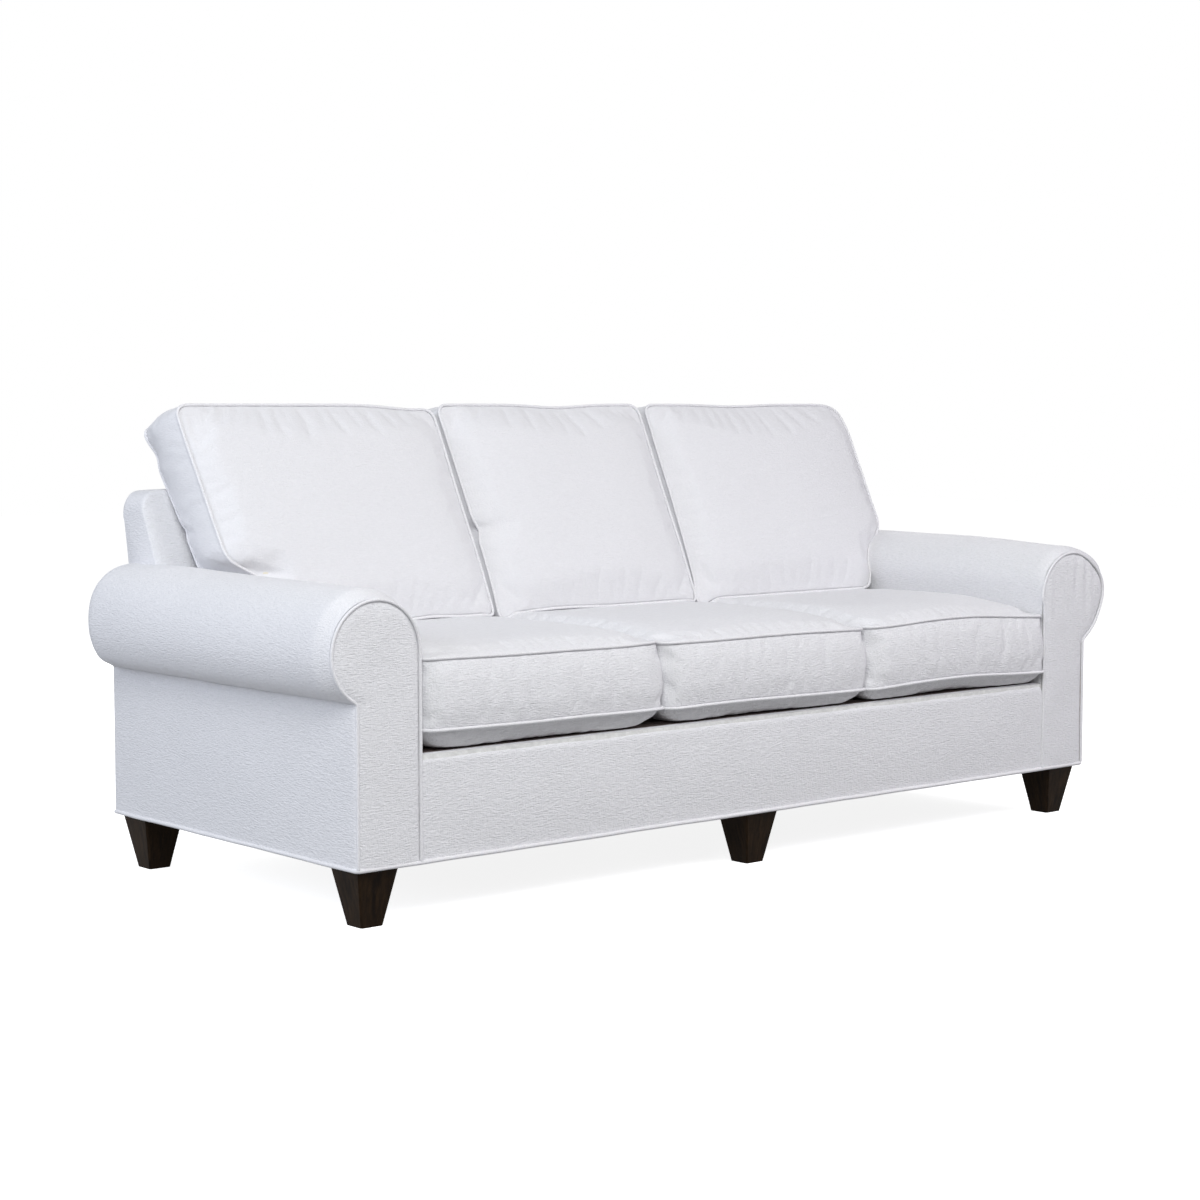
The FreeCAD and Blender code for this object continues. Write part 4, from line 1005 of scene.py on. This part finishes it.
# %% Outer arm panels
def sheet_net(across, up, place):
    """A net over two runs of numbers, each point placed by a function."""
    points = np.array([place(a, b) for b in up for a in across])
    return points, net_faces(len(up), len(across))


BOARD_SIDE = 1.0223
PANEL_X, PANEL_BOW, NOTCH_TUCK = 1.0245, 0.0022, 0.004
PANEL_FRONT, PANEL_REAR, PANEL_FOOT, PANEL_HEAD = -0.4285, 0.4300, 0.115, 0.418
FRONT_TURN, REAR_TURN, TURN_REACH = 0.0025, 0.003, 0.008


def outer_place(y, z):
    """A point of the right-hand panel: bowed in the middle, tucked in at its top and its two ends."""
    along, up = (y + 0.428) / 0.858, min((z - 0.1165) / 0.3015, 1)
    bow = PANEL_BOW * math.sin(math.pi * along) * math.sin(math.pi * up)
    tuck = NOTCH_TUCK * max(0, (z - 0.405) / 0.013) ** 2
    front = FRONT_TURN * (1 - min(1, (y - PANEL_FRONT) / TURN_REACH)) ** 2
    rear = REAR_TURN * max(0, 1 - (0.4305 - y) / TURN_REACH) ** 2
    return PANEL_X + bow - tuck - front - rear, y, z


for side, name in SIDES:
    across = runs((PANEL_FRONT, -0.42, 5), (-0.42, 0.42, 64), (0.42, PANEL_REAR, 5))
    points, faces = sheet_net(across, np.linspace(PANEL_FOOT, PANEL_HEAD, 34), outer_place)
    points[:, 0] = np.maximum(points[:, 0] + 0.0012 * wander(points, 0.13, 41 + side), BOARD_SIDE)
    points[:, 0] *= side
    if side < 0:
        faces = [face[::-1] for face in faces]
    panel = new_piece(f"{name}_outer_arm_sheet", points, faces, arm_cloth, "upholstery_cloth")
    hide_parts(f"{name}_outer_arm_panel")
    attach(panel, "sofa_frame")
print("outer arm panels:", len(points), "points each")


# %% [markdown]
# The arm front is a thin padded panel cut to the scroll, edged all round by its welt. Each row of its
# net runs from the outline's left to its right at one height, and the middle is raised a little, so
# the edge sinks behind the welt. At the notch the welt can't turn sharply, so it swings round. Cloth
# that is eased into the tight curve of the head gathers in short upright folds, mostly on the right.

# %% Arm front panels and their welts
WELT_R = 0.00325
FRONT = -0.431
NOTCH_SWING = {-1: 0.005, 1: 0.016}
HEAD_FOLDS = {-1: 0.0012, 1: 0.0042}
FOLD_WIDTH, FOLD_LENGTH = 0.016, 0.12
FOOT_Z, PANEL_EDGE, PANEL_CROWN, EDGE_SINK = 0.1165, 0.0045, 0.0055, 0.0022
WELT_STEP = 0.0012
PANEL_COLUMNS = 48


def scroll_outline(side, z, inset):
    """Where the scroll's two sides stand at a height, drawn in by an inset."""
    head, rise = ROLL_R + HEAD_GROWTH[side] - inset, z - ROLL_Z
    full = head + head_lump(side, math.asin(min(1, max(-1, rise / head))))
    reach = math.sqrt(max(full ** 2 - rise ** 2, 0))
    outer = ARM_OUTER - inset
    if z > ROLL_Z:
        return ROLL_X - math.sqrt(max(head ** 2 - rise ** 2, 0)), ROLL_X + reach
    swing = math.hypot(ROLL_X + reach - outer, NOTCH_SWING[side]) if reach else NOTCH_SWING[side]
    fade = smooth_step((z - ROLL_Z + head + 0.04) / 0.06)
    wide = (outer + max(ROLL_X + reach, outer - 0.03) + swing) / 2 if reach else outer
    wide = max(wide, outer)
    return ARM_INNER + inset, outer + (wide - outer) * float(fade)


def welt_path(side):
    head = ROLL_R + HEAD_GROWTH[side] - WELT_R
    path = [(scroll_outline(side, z, WELT_R)[0], z) for z in np.linspace(FOOT_Z, ROLL_Z, 40)[:-1]]
    for angle in np.linspace(math.pi, 0, 50)[:-1]:
        reach = head + head_lump(side, angle)
        path.append((ROLL_X + reach * math.cos(angle), ROLL_Z + reach * math.sin(angle)))
    path += [(scroll_outline(side, z, WELT_R)[1], z) for z in np.linspace(ROLL_Z, FOOT_Z, 110)]
    return [(side * x, FRONT - WELT_STEP, z) for x, z in path]


for side, name in SIDES:
    crest = ROLL_R + HEAD_GROWTH[side] - PANEL_EDGE
    straight = runs((PANEL_FOOT, 0.38, 40), (0.38, ROLL_Z, 26))[:-1]
    heights = np.concatenate((straight, ROLL_Z + crest * np.sin(np.linspace(0, math.pi / 2, 22))))
    points = []
    for z in heights:
        left, right = scroll_outline(side, z, PANEL_EDGE)
        top = math.sqrt(max(min(1, (ROLL_Z + crest + 0.003 - z) / 0.03), 0))
        folded = float(smooth_step((z - 0.43) / 0.05))
        for u in np.linspace(0, 1, PANEL_COLUMNS):
            edge = 1 - abs(2 * u - 1) ** 6
            x = left + (right - left) * u
            crease = noise.noise(Vector((x / FOLD_WIDTH, side, z / FOLD_LENGTH)))
            fold = HEAD_FOLDS[side] * folded * crease * edge
            points.append((x, FRONT + EDGE_SINK - (PANEL_CROWN * edge + fold) * top, z))
    points = np.array(points)
    points[:, 1] -= 0.0010 * wander(points, 0.07, 51 + side)
    points[:, 0] *= side
    faces = net_faces(len(heights), PANEL_COLUMNS)
    if side < 0:
        faces = [face[::-1] for face in faces]
    panel = new_piece(f"{name}_scroll_panel", points, faces, cushion_cloth, "upholstery_cloth")
    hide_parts(f"{name}_arm_front_panel")
    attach(panel, "sofa_frame")
    welt = new_welt(f"{name}_scroll_welt", [welt_path(side)], closed=False)
    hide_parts(f"{name}_arm_welt")
    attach(welt, "sofa_frame")
print("arm fronts:", len(points), "points each")


# %% [markdown]
# ## Front border
#
# The front rail is padded and covered in one run of cloth that rolls over its top edge and ends there:
# behind that edge lies a strip of dark deck cloth, painted shade that darkens the gap below the seats.

# %% Front border
BORDER_Y, BORDER_TOP, BORDER_ROUND, STRIP_REAR = -0.4302, 0.3108, 0.018, -0.383
BORDER_HALF, BORDER_TURN = 0.8800, 0.868
BORDER_BOW, BOW_HALF, BOW_RISE = 0.0035, 0.885, 0.19
END_DROP, DROP_START, DROP_RISE = 0.010, 0.25, 0.0625


def border_section():
    """The outlines in y and z of the border, from its foot up and over, and of the strip behind it."""
    section = [(BORDER_Y, z) for z in np.linspace(PANEL_FOOT, 0.292, 26)]
    cy, cz = BORDER_Y + BORDER_ROUND, BORDER_TOP - BORDER_ROUND
    for angle in np.linspace(math.pi, math.pi / 2, 12):
        section.append((cy + BORDER_ROUND * math.cos(angle), cz + BORDER_ROUND * math.sin(angle)))
    return section, [(y, BORDER_TOP) for y in np.linspace(cy, STRIP_REAR, 7)]


across = runs((-BORDER_HALF, -BORDER_TURN, 7), (-BORDER_TURN, BORDER_TURN, 150),
              (BORDER_TURN, BORDER_HALF, 7))


def border_net(outline):
    """A net along an outline, bowed forward in the middle and rounded off at both ends."""
    points = []
    for y, z in outline:
        for x in across:
            middle = math.sqrt(max(0, 1 - (x / BOW_HALF) ** 4))
            bow = BORDER_BOW * middle * math.sin(math.pi * min(1, max(0, (z - FOOT_Z) / BOW_RISE)))
            past_turn = max(0, (abs(x) - BORDER_TURN) / (BORDER_HALF - BORDER_TURN))
            end = END_DROP * (1 - math.sqrt(max(0, 1 - past_turn ** 2)))
            points.append((x, y - bow, z - end * max(0, (z - DROP_START) / DROP_RISE)))
    points = np.array(points)
    points[:, 1] -= 0.0013 * wander(points, 0.12, 61) * (points[:, 2] < 0.31)
    return points, net_faces(len(outline), len(across))


front, strip = border_section()
border = new_piece("front_border", *border_net(front), cushion_cloth, "upholstery_cloth")
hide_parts("front_rail_cover")
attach(border, "sofa_frame")
# The strip over the rail top is dark deck cloth, painted shade for the gap below the seats.
painted_shade_strip = new_piece("deck_strip_painted_shade", *border_net(strip), FINISHES["deck_cloth"], "deck_cloth")
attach(painted_shade_strip, "sofa_frame")
print("front border:", len(front), "rows, deck strip:", len(strip), "rows")


# %% [markdown]
# A last welt runs round the foot of the whole base and hides where the panels are stapled under. It is
# never quite straight, so it wanders by under a millimetre.

# %% Base welt
WELT_Z, HEM_RADIUS, HEM_STEP = 0.11325, 0.0041, 0.02
half_x, half_y, turn_r = 1.0245, 0.4315, 0.008
turns = ((half_x, -half_y, -90), (half_x, half_y, 0), (-half_x, half_y, 90), (-half_x, -half_y, 180))
path = []
for cx, cy, start in turns:
    corner = (cx - math.copysign(turn_r, cx), cy - math.copysign(turn_r, cy))
    for angle in np.radians(np.linspace(start, start + 90, 7)):
        path.append((corner[0] + turn_r * math.cos(angle), corner[1] + turn_r * math.sin(angle), WELT_Z))
dense = []
for here, after in zip(path, path[1:] + path[:1]):
    here, after = np.array(here), np.array(after)
    steps = max(1, int(np.linalg.norm(after - here) / HEM_STEP))
    dense += [here + (after - here) * k / steps for k in range(steps)]
dense = np.array(dense)
dense[:, 2] += 0.0009 * wander(dense, 0.09, 71)
base_welt = new_welt("base_hem_welt", [dense], HEM_RADIUS)
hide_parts("base_welt")
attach(base_welt, "sofa_frame")
print("base welt:", len(dense), "points")


# %% [markdown]
# ## The low back
#
# The inside back is a padded slope that rolls over the top rail and down its ends. The net follows the
# slope, the rounded top and the rear in one outline, and the outline shrinks over the last stretch at
# each end, which rounds the corners.

# %% Inside back
BACK_HALF, BACK_FLARE, BACK_CREST = 0.989, 0.005, 0.772
REAR_Y, REAR_TOP_Y, REAR_BREAK = 0.431, 0.452, 0.602
TOP_ROUND, REAR_ROUND, END_ROUND = 0.012, 0.020, 0.036
UNDER_SHEET = 0.003
END_STATIONS = 9


def rear_y(z):
    """The rear face: upright to the top of the arms, then raked back a little."""
    return REAR_Y + (REAR_TOP_Y - REAR_Y) * max(0, z - REAR_BREAK) / (BACK_TOP - REAR_BREAK)


def back_section(inset, top):
    """The back's outline in y and z, drawn in by an inset, from the deck up, over and down the rear."""
    slope = math.atan(BACK_SLOPE)
    low = top - TOP_ROUND * (1 - math.sin(slope))
    run = [(BACK_FOOT_Y + BACK_SLOPE * z + inset, z) for z in np.linspace(0.300, low, 40)]
    front = BACK_FOOT_Y + BACK_SLOPE * low + inset
    cy, cz = front + TOP_ROUND * math.cos(slope), low - TOP_ROUND * math.sin(slope)
    run += [(cy + TOP_ROUND * math.cos(a), cz + TOP_ROUND * math.sin(a))
            for a in np.linspace(math.pi - slope, math.pi / 2, 9)[1:]]
    crest, rear = cz + TOP_ROUND, rear_y(top) - UNDER_SHEET - inset
    run += [(y, crest) for y in np.linspace(cy + 0.005, rear - REAR_ROUND, 5)]
    run += [(rear + REAR_ROUND * (math.sin(a) - 1), crest + REAR_ROUND * (math.cos(a) - 1))
            for a in np.linspace(0, math.pi / 2, 8)[1:]]
    run += [(rear_y(z) - UNDER_SHEET - inset, z) for z in np.linspace(crest - REAR_ROUND - 0.01, 0.60, 12)]
    return run


stations = [(-BACK_HALF + END_ROUND * (1 - math.cos(a)), END_ROUND * (1 - math.sin(a)))
            for a in np.linspace(0, math.pi / 2, END_STATIONS)]
stations += [(x, 0.0) for x in np.linspace(-BACK_HALF + END_ROUND, BACK_HALF - END_ROUND, 110)[1:-1]]
stations += [(-x, inset) for x, inset in reversed(stations[:END_STATIONS])]
points = []
for x, inset in stations:
    top = BACK_CREST - inset * 0.8 - 0.010 * abs(x / BACK_HALF) ** 60
    for y, z in back_section(inset * 0.3, top):
        flare = max(0, z - REAR_BREAK) / (BACK_TOP - REAR_BREAK)
        points.append((x * (1 + BACK_FLARE * flare), y, z))
points = np.array(points)
columns = len(points) // len(stations)
slack = 0.0015 * wander(points, 0.15, 81)
points[:, 1] += slack * (points[:, 1] < 0.40)
points[:, 2] += slack * 0.6 * (points[:, 2] > 0.74)
faces = [face[::-1] for face in net_faces(len(stations), columns)]
ends = [tuple(range(columns)), tuple(range(len(points) - 1, len(points) - columns - 1, -1))]
inside_back = new_piece("padded_low_back", points, faces + ends, cushion_cloth, "upholstery_cloth")
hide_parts("inside_back_cover")
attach(inside_back, "sofa_frame")
print("inside back:", len(points), "points")

# %% [markdown]
# The outside back closes the rear in one panel, cut to the outline of the base, both rolls and the top
# of the back, and stitched along that outline. Each row of its net is as wide as the sofa at its
# height, and its rim is drawn in, so that it meets the cloth of the back all along the seam.

# %% Outside back panel
SHEET_HALF, CORNER_START, CORNER_RISE, CORNER_IN = 0.984, 0.045, 0.032, 0.030


def half_width(z):
    """Half of the sofa's width at a height, seen from behind."""
    if z <= REAR_BREAK:
        reach = math.sqrt(max(ROLL_R ** 2 - (z - ROLL_Z) ** 2, 0))
        return ROLL_X + reach if z > ROLL_Z else max(ARM_OUTER, ROLL_X + reach)
    corner = max(0, z - (BACK_TOP - CORNER_START)) / CORNER_RISE
    flare = 1 + BACK_FLARE * (z - REAR_BREAK) / (BACK_TOP - REAR_BREAK)
    return SHEET_HALF * flare - CORNER_IN * (1 - math.sqrt(max(0, 1 - corner ** 2)))


def outer_heights():
    """Rows of the net: closer where the outline turns, round the rolls and at the top corners."""
    base = np.linspace(PANEL_FOOT, 0.405, 30)
    rolls = ROLL_Z + ROLL_R * np.sin(np.linspace(-1.3, math.pi / 2, 40))
    upright = np.linspace(REAR_BREAK + 4 * MM, BACK_TOP - CORNER_START, 16)
    corners = BACK_TOP - CORNER_START + (CORNER_RISE - 1 * MM) * np.sin(np.linspace(0.2, math.pi / 2, 9))
    return np.unique(np.round(np.concatenate((base[:-1], rolls, upright, corners)), 5))


OUTER_COLUMNS = 90
SEAM_LOW, SEAM_HIGH = 0.002, 0.0075
heights = outer_heights()
points = []
for z in heights:
    wide = half_width(z) - 1.5 * MM
    drawn_in = SEAM_LOW if z <= REAR_BREAK else SEAM_HIGH
    for u in np.linspace(-1, 1, OUTER_COLUMNS):
        rim = 1 if z == heights[-1] else abs(u) ** 60
        points.append((wide * u, rear_y(z) - 0.5 * MM - drawn_in * rim, z))
points = np.array(points)
points[:, 1] -= 1 * MM * (1 + wander(points, 0.2, 91)) * (np.abs(points[:, 0]) < 0.95)
faces = [face[::-1] for face in net_faces(len(heights), OUTER_COLUMNS)]
outside_back = new_piece("outside_back_sheet", points, faces, cushion_cloth, "upholstery_cloth")
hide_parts("outside_back_panel")
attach(outside_back, "sofa_frame")
print("outside back:", len(points), "points")
